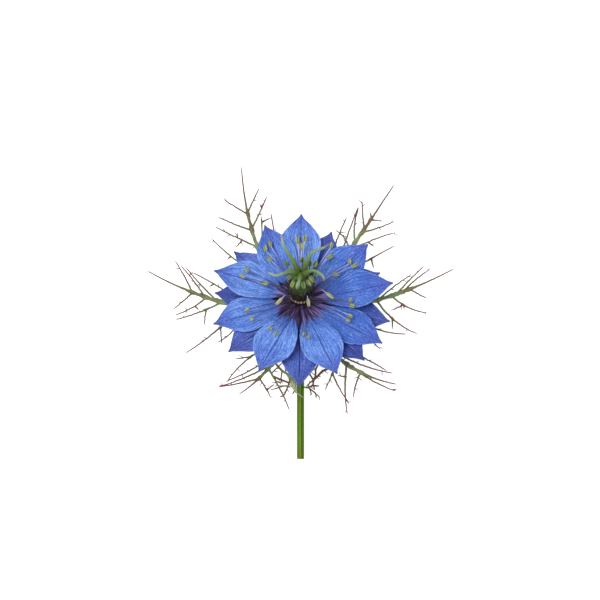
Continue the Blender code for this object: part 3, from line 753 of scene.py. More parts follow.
@dataclass(frozen=True)
class FloorFinish(Finish):
    """The plain pale surface that the flower lies on."""

    tone: Colour = (188, 188, 188)
    shade: Colour = (180, 180, 181)
    glow: float = 0.78

    def dress(self, effects: Effects) -> Material:
        """Makes the material.

        Args:
            effects: the shared node groups.

        Returns:
            The finished material.
        """
        material, graph, shader = self.start()
        grain = graph.use(effects.mottle, {"Patches": 40.0, "Cells": 900.0})
        colour = graph.layered(self.tone, (grain["Patch"] * 0.1, self.shade))
        graph.feed(shader.inputs["Base Color"], colour)
        shader.inputs["Emission Color"].default_value = (1.0, 1.0, 1.0, 1.0)
        shader.inputs["Emission Strength"].default_value = self.glow
        return material


class Finishes:
    """Every material of the flower, made once."""

    def __init__(self) -> None:
        """Dresses each finish with the shared effects."""
        effects = Effects()
        self.inner_sepal = SepalFinish("Inner sepal").dress(effects)
        # The outer whorl's finish is the inner one darker and more violet: partly its own colour, partly
        # painted shade on the lower layers
        self.outer_sepal = SepalFinish(
            "Outer sepal", base=(40, 60, 132), middle=(58, 84, 170), tip=(68, 76, 160),
            light=(116, 142, 222), vein=(28, 34, 104)).dress(effects)
        self.bract = ThreadFinish("Bract thread", 0.6, specular=0.25, stops=(
            (0.0, (172, 176, 136)), (0.12, (136, 156, 108)), (0.34, (120, 138, 90)), (0.52, (102, 102, 66)),
            (0.76, (98, 70, 54)), (1.0, (114, 72, 72))), flush=(120, 56, 68), flush_share=0.35).dress(effects)
        self.stem = StalkFinish("Stem", 0.6, specular=0.15).dress(effects)
        self.filament = ThreadFinish("Filament", 0.5, stops=(
            (0.0, (38, 30, 42)), (0.2, (62, 54, 104)), (0.4, (84, 86, 150)), (0.65, (150, 158, 206)),
            (1.0, (206, 212, 222))), flush=(110, 106, 180), flush_share=0.2).dress(effects)
        self.young_filament = ThreadFinish("Young filament", 0.7, specular=0.1, stops=(
            (0.0, (34, 26, 22)), (1.0, (66, 72, 34))), flush=(40, 34, 30)).dress(effects)
        self.collar = ThreadFinish("Collar", 0.5, stops=(
            (0.0, (40, 28, 34)), (0.45, (100, 92, 60)), (1.0, (152, 146, 96))), flush=(76, 66, 40),
            flush_share=0.6).dress(effects)
        self.anther = AntherFinish("Ripe anther").dress(effects)
        self.pale_anther = AntherFinish(
            "Pale anther", sac=(156, 160, 112), light=(186, 188, 146),
            furrow=(112, 104, 60)).dress(effects)
        self.young_anther = AntherFinish(
            "Young anther", 0.5, sac=(104, 126, 54), light=(156, 174, 106),
            furrow=(34, 48, 12)).dress(effects)
        self.pistil = ThreadFinish("Pistil", 0.42, stops=(
            (0.0, (28, 32, 4)), (0.14, (62, 74, 14)), (0.3, (68, 94, 16)), (0.5, (88, 118, 58)),
            (0.72, (110, 138, 100)), (0.88, (132, 152, 126)), (1.0, (124, 96, 86))), flush=(50, 68, 10),
            flush_share=0.3).dress(effects)
        self.floor = FloorFinish("Pale floor").dress(effects)


class Shape(Enum):
    """The Geometry Nodes trees, by the shape that each makes."""

    SEPAL = "Sepal"
    THREADS = "Threads"
    STALK = "Ridged stalk"
    STAMENS = "Stamens"


def placed(name: str, data: bpy.types.ID) -> Piece:
    """Puts a mesh, a lamp or a camera in the scene.

    Args:
        name: the object's name.
        data: what it shows.

    Returns:
        The object, on the origin.
    """
    piece = bpy.data.objects.new(name, data)
    bpy.context.scene.collection.objects.link(piece)
    return piece


def moulded(build: bmesh.types.BMesh, name: str, material: Material) -> Piece:
    """Turns a finished bmesh into a smooth piece.

    Args:
        build: the bmesh, which is freed.
        name: the piece's name.
        material: its finish.

    Returns:
        The piece.
    """
    mesh = bpy.data.meshes.new(name)
    build.to_mesh(mesh)
    build.free()
    mesh.materials.append(material)
    mesh.shade_smooth()
    return placed(name, mesh)


def baked(name: str, tree: Tree, values: dict[str, object], start: Mesh | None = None) -> Piece:
    """Runs a Geometry Nodes tree once and keeps what it makes as a plain mesh.

    Args:
        name: the piece's name.
        tree: the tree.
        values: a value for each named input.
        start: the mesh that the tree works on, if it needs one.

    Returns:
        The piece, with no modifier left on it.
    """
    source = placed(name + "_source", start or bpy.data.meshes.new(name + "_source"))
    modifier = source.modifiers.new("shape", "NODES")
    modifier.node_group = tree
    for item in tree.interface.items_tree:
        if item.item_type == "SOCKET" and item.in_out == "INPUT" and item.name in values:
            modifier[item.identifier] = values[item.name]
    source.update_tag()
    bpy.context.view_layer.update()
    evaluated = source.evaluated_get(bpy.context.evaluated_depsgraph_get())
    mesh = bpy.data.meshes.new_from_object(evaluated)
    mesh.name = name
    bpy.data.objects.remove(source, do_unlink=True)
    return placed(name, mesh)


def joined(pieces: list[Piece]) -> Piece:
    """The first piece, with the others joined to it."""
    with bpy.context.temp_override(active_object=pieces[0], selected_editable_objects=pieces):
        bpy.ops.object.join()
    return pieces[0]


def report(piece: Piece, slot: str, *nodes: str) -> None:
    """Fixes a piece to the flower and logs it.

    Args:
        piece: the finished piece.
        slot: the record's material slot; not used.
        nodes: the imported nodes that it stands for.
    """
    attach(piece, BODY)
    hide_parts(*nodes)
    LOG.info("%s: %d faces, for %s", piece.name, len(piece.data.polygons), ", ".join(nodes))


@dataclass
class Strand:
    """One thread's route in mm, with a radius and an age at each place."""

    places: list[Vector] = field(default_factory=list)
    radii: list[float] = field(default_factory=list)
    ages: list[float] = field(default_factory=list)

    def add(self, place: Vector, radius: float, age: float) -> None:
        """Carries the thread on.

        Args:
            place: the next place.
            radius: its radius there.
            age: its age there.
        """
        self.places.append(place)
        self.radii.append(radius)
        self.ages.append(age)


def strand_mesh(strands: Sequence[Strand], matrix: Matrix) -> Mesh:
    """Lines that carry each strand's radius and age.

    Args:
        strands: the strands, in mm.
        matrix: from their frame to the world.

    Returns:
        A mesh of edges in metres.
    """
    places, edges, radii, ages = [], [], [], []
    for strand in strands:
        first = len(places)
        places += [matrix @ (place * MM) for place in strand.places]
        edges += [(first + step, first + step + 1) for step in range(len(strand.places) - 1)]
        radii += [radius * MM for radius in strand.radii]
        ages += strand.ages
    mesh = bpy.data.meshes.new("strands")
    mesh.from_pydata(places, edges, [])
    for name, values in (("thickness", radii), ("age", ages)):
        mesh.attributes.new(name, "FLOAT", "POINT").data.foreach_set("value", values)
    return mesh


@dataclass(frozen=True)
class Shaper(Graph):
    """A Geometry Nodes tree that is being wired."""

    KIND: ClassVar[str] = "GeometryNodeTree"

    def circle(self, sides: Field | int) -> Field:
        """A circle of radius 1, as a tube's outline."""
        return self.call("GeometryNodeCurvePrimitiveCircle", {"Resolution": sides, "Radius": 1.0})

    def moved(self, geometry: Field, place: Field) -> Field:
        """The geometry with its points moved to this place."""
        return self.call("GeometryNodeSetPosition", {"Geometry": geometry, "Position": place})

    def stored(self, geometry: Field, name: str, value: Field, domain: str = "POINT",
               kind: str = "FLOAT") -> Field:
        """The geometry with this value kept on it under a name."""
        feeds = {"Geometry": geometry, "Name": name, "Value": value}
        return self.call("GeometryNodeStoreNamedAttribute", feeds, domain=domain, data_type=kind)

    def drawn(self, ends: Pair, seed: Field) -> Field:
        """A random value between two ends for each point."""
        feeds = {2: ends[0], 3: ends[1], "Seed": seed}
        return self.call("FunctionNodeRandomValue", feeds, 1, data_type="FLOAT")

    def finished(self, geometry: Field, material: Field) -> Field:
        """Ends a tree.

        Args:
            geometry: what it made.
            material: its finish.

        Returns:
            The geometry with instances made real, shaded smooth, in its material.
        """
        real = self.call("GeometryNodeRealizeInstances", {"Geometry": geometry})
        smooth = self.call("GeometryNodeSetShadeSmooth", {"Geometry": real})
        return self.call("GeometryNodeSetMaterial", {"Geometry": smooth, "Material": material})

    def ended(self, geometry: Field) -> Tree:
        """The tree, with this geometry put out."""
        self.outputs("Geometry", Geometry=geometry)
        return self.tree

    def tubes(self, lines: Field, profile: Field) -> Field:
        """Lays tubes along a mesh's lines, at the lines' own thickness.

        Args:
            lines: the lines.
            profile: the tubes' outline.

        Returns:
            The tubes.
        """
        curves = self.call("GeometryNodeMeshToCurve", {"Mesh": lines})
        thickness = self.call("GeometryNodeInputNamedAttribute", {"Name": "thickness"}, "Attribute",
                               data_type="FLOAT")
        return self.call("GeometryNodeCurveToMesh", {
            "Curve": curves, "Profile Curve": profile, "Scale": thickness, "Fill Caps": True})


class Trees:
    """The Geometry Nodes trees, built once."""

    FILAMENT_SIDES = 8
    ANTHER_TURNS = (-0.8, 0.8)
    ANTHER_SIZES = (0.88, 1.08)

    def __init__(self) -> None:
        """Builds each tree."""
        self.threads = self.thread_tree()
        self.sepal = self.sepal_tree()
        self.stalk = self.stalk_tree()
        self.stamens = self.stamen_tree()

    def thread_tree(self) -> Tree:
        """Round threads along lines.

        Returns:
            The tree.
        """
        graph = Shaper.group(Shape.THREADS.value)
        given = graph.inputs(Geometry="Geometry", Sides="Int", Material="Material")
        tube = graph.tubes(given["Geometry"], graph.circle(given["Sides"]))
        return graph.ended(graph.finished(tube, given["Material"]))

    def stalk_tree(self) -> Tree:
        """A stalk with rounded ridges along it.

        Returns:
            The tree.
        """
        graph = Shaper.group(Shape.STALK.value)
        given = graph.inputs(Geometry="Geometry", Sides="Int", Ridges=9.0, Groove=0.12,
                             Sharpness=0.7, Material="Material")
        x, y, _ = graph.parts(graph.call("GeometryNodeInputPosition", {}))
        angle = graph.math("ARCTAN2", y, x) + math.pi / 2
        wave = graph.math("COSINE", angle * given["Ridges"]) * 0.5 + 0.5
        ridge = wave ** given["Sharpness"]
        shrink = 1.0 - given["Groove"] * (1.0 - ridge)
        kept = graph.stored(graph.circle(given["Sides"]), "ridge", ridge)
        profile = graph.moved(kept, graph.vector(x * shrink, y * shrink, 0.0))
        tube = graph.tubes(given["Geometry"], profile)
        return graph.ended(graph.finished(tube, given["Material"]))

    def anther(self, graph: Shaper, long: Field, wide: Field, sink: Field, material: Field) -> Field:
        """One anther on the origin: two plump sacs along z, with a furrow between them.

        Args:
            graph: the tree to build in.
            long: its length.
            wide: its radius.
            sink: how far up its middle is, as a share of its length.
            material: its finish.

        Returns:
            The anther's mesh.
        """
        ball = graph.call("GeometryNodeMeshUVSphere", {"Segments": 20, "Rings": 14, "Radius": 1.0})
        x, y, z = graph.parts(graph.call("GeometryNodeInputPosition", {}))
        crease = 1.0 / (1.0 + (x / 0.26) * (x / 0.26))
        kept = graph.stored(ball, "furrow", crease.eased(0.3, 0.95))
        plump = (1.0 - z * z * z * z * 0.35) / graph.math("SQRT", 1.0 - z * z * 0.45)
        place = graph.vector(x * wide * plump, y * wide * plump * (0.82 - 0.36 * crease),
                             (z * 0.5 * (1.0 - 0.1 * crease) + sink) * long)
        return graph.finished(graph.moved(kept, place), material)

    def stamen_tree(self) -> Tree:
        """Filaments along lines, with an anther on the end of each.

        Returns:
            The tree.
        """
        graph = Shaper.group(Shape.STAMENS.value)
        given = graph.inputs(Geometry="Geometry", Length=2.1 * MM, Width=0.5 * MM, Sink=0.3,
                             Seed="Int", Filament="Material", Anther="Material")
        tube = graph.tubes(given["Geometry"], graph.circle(self.FILAMENT_SIDES))
        filaments = graph.finished(tube, given["Filament"])
        curves = graph.call("GeometryNodeMeshToCurve", {"Mesh": given["Geometry"]})
        last = graph.call("GeometryNodeCurveEndpointSelection", {"Start Size": 0, "End Size": 1})
        tangent = graph.call("GeometryNodeInputTangent", {})
        facing = graph.call("FunctionNodeAlignRotationToVector", {"Vector": tangent}, axis="Z")
        upward = {"Rotation": facing, "Vector": (0.0, 0.0, 1.0)}
        facing = graph.call("FunctionNodeAlignRotationToVector", upward, axis="Y", pivot_axis="Z")
        turn = graph.drawn(self.ANTHER_TURNS, given["Seed"])
        spin = graph.call("FunctionNodeAxisAngleToRotation", {"Axis": (0.0, 0.0, 1.0), "Angle": turn})
        facing = graph.call("FunctionNodeRotateRotation", {"Rotation": facing, "Rotate By": spin},
                            rotation_space="LOCAL")
        size = graph.drawn(self.ANTHER_SIZES, given["Seed"] + 7.0)
        anther = self.anther(graph, given["Length"], given["Width"], given["Sink"], given["Anther"])
        copies = graph.call("GeometryNodeInstanceOnPoints", {
            "Points": curves, "Selection": last, "Instance": anther, "Rotation": facing, "Scale": size})
        anthers = graph.call("GeometryNodeRealizeInstances", {"Geometry": copies})
        both = graph.node("GeometryNodeJoinGeometry")
        for part in (anthers, filaments):
            graph.feed(both.inputs[0], part)
        return graph.ended(Field(graph, both.outputs[0]))

    def sepal_tree(self) -> Tree:
        """One sepal's surface on the bloom's cup, with veins in relief, in millimetres.

        Returns:
            The tree.
        """
        graph = Shaper.group(Shape.SEPAL.value)
        given = graph.inputs(
            Root=2.5, Reach=23.0, Azimuth=0.0, Breadth=1.0, Fullness=1.0, Bow=0.0, Drop=0.0, Lift=0.4,
            Ruffle=0.2, Petal=0.0, Tone=0.0, Rows="Int", Columns="Int", Material="Material")
        grid = graph.call("GeometryNodeMeshGrid", {
            "Size X": 1.0, "Size Y": 1.0, "Vertices X": given["Rows"], "Vertices Y": given["Columns"]})
        x, y, _ = graph.parts(graph.call("GeometryNodeInputPosition", {}))
        along = x + 0.5
        across = y * 2.0
        petal = given["Petal"]
        kept = graph.stored(grid, "blade", graph.vector(y + 0.5, along, 0.0), "CORNER", "FLOAT2")
        kept = graph.stored(kept, "petal", petal)
        # The tone, painted light and shade, is kept on the mesh for the shader
        kept = graph.stored(kept, "tone", given["Tone"])
        outline = graph.call("ShaderNodeFloatCurve", {"Value": along ** given["Fullness"]})
        mapping = outline.socket.node.mapping
        curve = mapping.curves[0]
        points = [(place, half / Sepals.WIDEST) for place, half in Sepals.OUTLINE]
        while len(curve.points) < len(points):
            curve.points.new(0.5, 0.5)
        for point, place in zip(curve.points, points):
            point.location = place
        mapping.update()
        half = outline * Sepals.WIDEST
        broad = 1.0 + (given["Breadth"] - 1.0) * along.eased(0.12, 0.22)
        arch = graph.math("SINE", along * math.pi)
        lean = graph.math("SINE", petal * 5.3)
        side = half * broad * across * (1.0 + 0.05 * lean * across)
        side = side + given["Bow"] * arch
        reach = given["Root"] + (given["Reach"] - given["Root"]) * along
        cosine = graph.math("COSINE", given["Azimuth"])
        sine = graph.math("SINE", given["Azimuth"])
        place_x = reach * cosine - side * sine
        place_y = reach * sine + side * cosine
        out = graph.math("SQRT", place_x * place_x + place_y * place_y)
        rise = Sepals.CUP_RISE + Sepals.CUP_FAR_RISE * place_y / out
        cup = rise * (out / Sepals.BLOOM_RADIUS) ** Sepals.CUP_POWER
        vein, midrib = Veins().masks(graph, across, along, petal)
        blade = along.eased(0.16, 0.3) * along.eased(1.02, 0.9)
        waves = graph.math("SINE", along * Sepals.RIPPLES + petal * 9.0 + across * 1.7)
        margin = across * across
        drop = given["Drop"] * (0.42 + 0.58 * along.eased(0.02, 0.32))
        height = (cup - drop + given["Lift"] * margin * arch
                  + given["Ruffle"] * waves * margin * arch
                  - (vein * Sepals.VEIN_DEPTH + midrib * Sepals.MIDRIB_DEPTH) * blade)
        shaped = graph.moved(kept, graph.vector(place_x, place_y, height))
        return graph.ended(graph.finished(shaped, given["Material"]))


@dataclass
class Assembly:
    """A part of the flower, with the finishes and the trees that it is made with."""

    finishes: Finishes
    trees: Trees

    def threads(self, name: str, strands: Sequence[Strand], matrix: Matrix, sides: int,
                material: Material) -> Piece:
        """Round threads along strands, put in the world by a matrix."""
        values = {"Sides": sides, "Material": material}
        return baked(name, self.trees.threads, values, strand_mesh(strands, matrix))

    def build(self) -> None:
        """Makes its pieces."""
        raise NotImplementedError


@dataclass(frozen=True)
class Sepal:
    """One sepal: its tip's pixel, layer from the top, breadth, tone, fullness and bow.

    Its tone is painted light and shade: above 0 it lightens the sepal, below 0 it darkens it. Fullness over 1
    moves its widest place towards the tip. Bow is how far its middle lies to the left of its axis, in mm.
    """

    tip: Pixel
    layer: int
    breadth: float = 1.0
    tone: float = 0.0
    fullness: float = 1.0
    bow: float = 0.0


@dataclass
class Sepals(Assembly):
    """The two whorls of sepals, in layers on one shallow cup."""

    BLOOM_RADIUS: ClassVar[float] = 23.0
    CUP_RISE: ClassVar[float] = 2.8
    CUP_FAR_RISE: ClassVar[float] = 1.8
    CUP_POWER: ClassVar[float] = 1.6
    WIDEST: ClassVar[float] = 6.0
    RIPPLES: ClassVar[float] = 15.0
    VEIN_DEPTH: ClassVar[float] = 0.045
    MIDRIB_DEPTH: ClassVar[float] = 0.1
    # Half the width in mm at each share of the length
    OUTLINE: ClassVar[Taper] = (
        (0.0, 1.1), (0.1, 1.45), (0.16, 1.85), (0.21, 2.5), (0.27, 3.35), (0.35, 4.2), (0.45, 4.9),
        (0.56, 5.3), (0.66, 5.0), (0.74, 4.15), (0.82, 3.0), (0.87, 2.1), (0.91, 1.35), (0.94, 0.8),
        (0.97, 0.4), (1.0, 0.1))

    root: float = 2.15
    point: float = 0.15
    layer_step: float = 0.95
    thickness: float = 0.26
    top_lift: float = 0.5
    lower_lift: float = 0.15
    top_ruffle: float = 0.22
    lower_ruffle: float = 0.14
    petal_step: float = 1.37
    outer_petal: float = 10.0
    rows: int = 72
    columns: int = 49
    inner: tuple[Sepal, ...] = (
        Sepal((301.2, 214.7), 1, 1.02, 0.8, 1.2), Sepal((264.9, 225.7), 0, 0.96, 0.1, 1.03, 0.2),
        Sepal((214.5, 270.8), 0, 0.94, 0.7, 1.03, -0.9), Sepal((213.9, 323.9), 1, 0.93, 0.4, 1.03, -0.3),
        Sepal((259.0, 370.2), 0, 1.0, 0.45, 1.03, 0.1), Sepal((336.9, 373.4), 0, 1.0, 0.2, 1.03, -0.1),
        Sepal((381.8, 342.9), 1, 0.93, -0.4, 1.03, 0.2), Sepal((392.4, 283.0), 0, 0.98, -0.4, 1.03),
        Sepal((367.6, 244.7), 1, 0.98, -0.1, 1.15))
    outer: tuple[Sepal, ...] = (
        Sepal((234.3, 251.8), 2, 0.9, 1.9, 0.95), Sepal((215.5, 293.0), 3, 1.0, -0.1, 0.95),
        Sepal((228.8, 351.4), 2, 1.0, 0.5, 0.97), Sepal((299.2, 386.5), 3, 0.97, 0.4, 0.93),
        Sepal((364.0, 360.0), 2, 0.95, -0.5, 0.97), Sepal((389.4, 321.2), 3, 1.0, -0.2, 0.95),
        Sepal((379.5, 273.0), 2, 1.0, 0.0, 0.95), Sepal((331.4, 232.4), 3, 1.0, 0.1, 0.95))

    @classmethod
    def cup_height(cls, x: float, y: float) -> float:
        """Height of the cup.

        Args:
            x: across the bloom.
            y: towards its far side.

        Returns:
            The height at that place, in mm.
        """
        reach = math.hypot(x, y)
        rise = cls.CUP_RISE + cls.CUP_FAR_RISE * y / reach
        return rise * (reach / cls.BLOOM_RADIUS) ** cls.CUP_POWER

    def blade(self, name: str, sepal: Sepal, petal: float, material: Material) -> Piece:
        """One finished sepal.

        Args:
            name: the piece's name.
            sepal: where it lies and how big it is.
            petal: a number of its own, which its small differences come from.
            material: its finish.

        Returns:
            A closed thin blade in the world's frame.
        """
        top = sepal.layer == 0
        drop = sepal.layer * self.layer_step
        tip = PICTURE.seen(sepal.tip, lambda x, y: self.cup_height(x, y) - drop)
        piece = baked(name, self.trees.sepal, {
            "Root": self.root, "Reach": tip.to_2d().length + self.point,
            "Azimuth": math.radians(azimuth_of(tip)),
            "Breadth": sepal.breadth, "Fullness": sepal.fullness, "Bow": sepal.bow,
            "Drop": drop, "Lift": self.top_lift if top else self.lower_lift,
            "Ruffle": self.top_ruffle if top else self.lower_ruffle, "Petal": petal, "Tone": sepal.tone,
            "Rows": self.rows, "Columns": self.columns, "Material": material})
        piece.data.transform(HEAD @ Matrix.Scale(MM, 4))
        wall = piece.modifiers.new("thickness", "SOLIDIFY")
        wall.thickness = self.thickness * MM
        wall.offset = 0.0
        return piece

    def build(self) -> None:
        """Makes both whorls."""
        whorls = (("inner", self.inner, self.finishes.inner_sepal, 0.0),
                  ("outer", self.outer, self.finishes.outer_sepal, self.outer_petal))
        for whorl, sepals, material, first in whorls:
            for number, sepal in enumerate(sepals, 1):
                petal = number * self.petal_step + first
                piece = self.blade(f"{whorl}_sepal_{number}", sepal, petal, material)
                report(piece, f"sepal_blue_{whorl}", f"sepal_{whorl}_{number}")


@dataclass(frozen=True)
class Arc:
    """An arc laid across a plane: where it starts, its heading, length and bend."""

    start: Vector
    heading: float
    length: float
    bend: float

    def at(self, distance: float) -> tuple[Vector, float]:
        """Follows the arc.

        Args:
            distance: how far along it.

        Returns:
            The place and heading there.
        """
        heading = math.radians(self.heading)
        if abs(self.bend) < 0.01:
            return self.start + distance * Vector((math.cos(heading), math.sin(heading))), self.heading
        here = self.heading + self.bend * distance / self.length
        radius = self.length / math.radians(self.bend)
        x = radius * (math.sin(math.radians(here)) - math.sin(heading))
        y = -radius * (math.cos(math.radians(here)) - math.cos(heading))
        return self.start + Vector((x, y)), here

    @classmethod
    def through(cls, start: Vector, middle: Vector, tip: Vector) -> "Arc":
        """Finds the arc through three places.

        Args:
            start: where it starts.
            middle: a place that it passes.
            tip: where it ends.

        Returns:
            The arc.
        """
        before = math.atan2(middle.y - start.y, middle.x - start.x)
        after = math.atan2(tip.y - middle.y, tip.x - middle.x)
        half_bend = math.remainder(after - before, 2 * math.pi)
        heading = math.atan2(tip.y - start.y, tip.x - start.x) - half_bend
        length = (tip - start).length
        if abs(half_bend) > 1e-4:
            length *= half_bend / math.sin(half_bend)
        return cls(start, math.degrees(heading), length, math.degrees(2 * half_bend))

    def nearest(self, place: Vector, steps: int = 200) -> float:
        """How far along its nearest point to a place is."""
        distances = [self.length * step / steps for step in range(steps + 1)]
        return min(distances, key=lambda distance: (self.at(distance)[0] - place).length)


@dataclass(frozen=True)
class Twig:
    """A twig: how far along its parent it leaves, its turn to the left, length, bend and lift."""

    at: float
    turn: float
    length: float
    bend: float = 0.0
    lift: float = 0.0
    forks: tuple["Twig", ...] = ()


@dataclass(frozen=True)
class Thread:
    """A thread as the picture shows it: the pixels where it starts, ends and, if it bends, passes.

    Its lift is how far its tip stands above the bowl, in mm.
    """

    start: Pixel
    tip: Pixel
    passes: Pixel | None = None
    lift: float = 0.0
    forks: tuple["Thread", ...] = ()


@dataclass(frozen=True)
class Bract:
    """A bract: the pixels that its rib passes and ends at, whether it rests on the table, its threads."""

    passes: Pixel
    tip: Pixel
    rests: bool
    threads: tuple[Thread, ...]


class Surface:
    """A surface that threads are laid on."""

    def height(self, x: float, y: float, radius: float, lift: float) -> float:
        """The height of a thread's middle at a place, in mm."""
        raise NotImplementedError

    def lowest(self, y: float, radius: float) -> float:
        """The lowest that a thread's middle may lie, in mm."""
        raise NotImplementedError


@dataclass
class Bowl(Surface):
    """The bowl under the bloom, cut off by the table, in the bloom's frame."""

    rise: float
    floor: float = -8.0
    reach: float = 40.0
    power: float = 2.4

    @staticmethod
    def table(y: float, clearance: float) -> float:
        """The height of a place that stands this far above the table."""
        return (clearance - HEAD_CENTRE.z + y * math.sin(HEAD_LEAN)) / math.cos(HEAD_LEAN)

    def height(self, x: float, y: float, radius: float, lift: float) -> float:
        """The height of a thread's middle at a place, in mm."""
        bowl = self.floor + self.rise * (math.hypot(x, y) / self.reach) ** self.power
        return max(bowl + lift, self.table(y, radius))

    def lowest(self, y: float, radius: float) -> float:
        """The lowest that a thread's middle may lie, in mm."""
        return self.table(y, radius)


@dataclass
class Slope(Surface):
    """A cone that rises from a point beside the stem, in the world's frame."""

    start: Vector
    base: float
    rise: float

    def height(self, x: float, y: float, radius: float, lift: float) -> float:
        """The height of a thread's middle at a place, in mm."""
        away = math.hypot(x - self.start.x, y - self.start.y)
        return max(self.base + self.rise * away + lift, radius)

    def lowest(self, y: float, radius: float) -> float:
        """The lowest that a thread's middle may lie, in mm."""
        return radius


@dataclass
class Thicket:
    """Grows a rib and its twigs over a surface, as strands."""

    surface: Surface
    dice: random.Random
    step: float = 0.5
    tip_radius: float = 0.14
    point_radius: float = 0.04
    below_point_radius: float = 0.09
    jitter: float = 0.045
    flare: float = 0.55
    flare_reach: float = 0.7
    shortest_flared: float = 2.8
    youngest: float = 0.12
    foot_radius: float = 0.18
    foot_growth: float = 0.006
    foot_swell: float = 1.5
    ageing: Pair = (0.25, 0.035)
    lobes_per_mm: float = 0.17
    lobe_length: Pair = (0.5, 1.5)
    lobe_turn: Pair = (35.0, 70.0)
    lobe_rise: Pair = (-0.3, 0.5)
    lobe_radii: Pair = (0.13, 0.07)
    lobe_ageing: float = 0.2
    lobe_steps: int = 4
    slim_share: float = 0.4
    slim_reach: float = 0.9

    def flared(self, distance: float, twigs: Sequence[Twig]) -> float:
        """How much a thread swells this far along, near the roots of its twigs.

        Args:
            distance: how far along the thread, in mm.
            twigs: the twigs that leave it.

        Returns:
            A factor on the thread's radius.
        """
        roots = [twig.at for twig in twigs if twig.length > self.shortest_flared]
        swell = max((math.exp(-((distance - at) / self.flare_reach) ** 2) for at in roots), default=0.0)
        return 1.0 + self.flare * swell

    def strand(self, arc: Arc, lifts: Pair, taper: Taper, ages: Pair, twigs: Sequence[Twig] = (),
               start: float = 0.0) -> Strand:
        """One thread along an arc.

        Args:
            arc: its course across the plane.
            lifts: how far its two ends stand above the surface.
            taper: its radius along it.
            ages: the ages at its two ends.
            twigs: the twigs that leave it, where it swells.
            start: how far along the arc it begins.

        Returns:
            The strand, with a pointed tip.
        """
        made = Strand()
        steps = max(4, math.ceil(arc.length / self.step))
        for step in range(steps + 1):
            fraction = start / arc.length + (1.0 - start / arc.length) * step / steps
            place, heading = arc.at(arc.length * fraction)
            sway = self.dice.gauss(0.0, self.jitter) * math.sin(math.pi * fraction)
            aside = math.radians(heading) + math.pi / 2
            place = place + sway * Vector((math.cos(aside), math.sin(aside)))
            radius = tapered(taper, fraction) * self.flared(arc.length * fraction, twigs)
            height = self.surface.height(place.x, place.y, radius, between(lifts, fraction))
            age = max(self.youngest, between(ages, fraction))
            made.add(Vector((place.x, place.y, height)), radius, age)
        made.radii[-1] = self.point_radius
        made.radii[-2] = min(made.radii[-2], self.below_point_radius)
        return made

    def lobes(self, thread: Strand) -> Iterator[Strand]:
        """Small pointed lobes at the side of a thread.

        Args:
            thread: the thread.

        Yields:
            A short strand for each.
        """
        for near, far, age in zip(thread.places[1:], thread.places[2:], thread.ages[1:]):
            if self.dice.random() > self.lobes_per_mm * (far - near).length:
                continue
            turn = self.dice.choice((-1, 1)) * self.dice.uniform(*self.lobe_turn)
            along = (far - near).to_2d().normalized()
            along.rotate(Matrix.Rotation(math.radians(turn), 2))
            length = self.dice.uniform(*self.lobe_length)
            rise = self.dice.uniform(*self.lobe_rise)
            lobe = Strand()
            for step in range(self.lobe_steps + 1):
                share = step / self.lobe_steps
                place = near.to_2d() + along * length * share
                radius = between(self.lobe_radii, share)
                height = max(near.z + rise * share, self.surface.lowest(place.y, radius))
                own_age = min(1.0, age + self.lobe_ageing * share)
                lobe.add(Vector((place.x, place.y, height)), radius, own_age)
            yield lobe

    def grow(self, twigs: Sequence[Twig], parent: Arc, lifts: Pair, ages: Pair) -> Iterator[Strand]:
        """Twigs of a parent, and their forks.

        Args:
            twigs: the twigs.
            parent: the thread that they grow from.
            lifts: the lifts at the parent's two ends.
            ages: the ages at the parent's two ends.

        Yields:
            A strand for each twig and fork.
        """
        for twig in twigs:
            share = twig.at / parent.length
            start, heading = parent.at(twig.at)
            low = between(lifts, share)
            young = between(ages, share)
            arc = Arc(start, heading + twig.turn, twig.length, twig.bend)
            foot = self.foot_radius + self.foot_growth * twig.length
            slim_from = min(self.slim_share, self.slim_reach / twig.length)
            taper = ((0.0, foot * self.foot_swell), (slim_from, foot), (1.0, self.tip_radius))
            own_lifts = (low, low + twig.lift)
            own_ages = (young, min(1.0, young + self.ageing[0] + twig.length * self.ageing[1]))
            made = self.strand(arc, own_lifts, taper, own_ages, twig.forks)
            yield made
            yield from self.lobes(made)
            yield from self.grow(twig.forks, arc, own_lifts, own_ages)


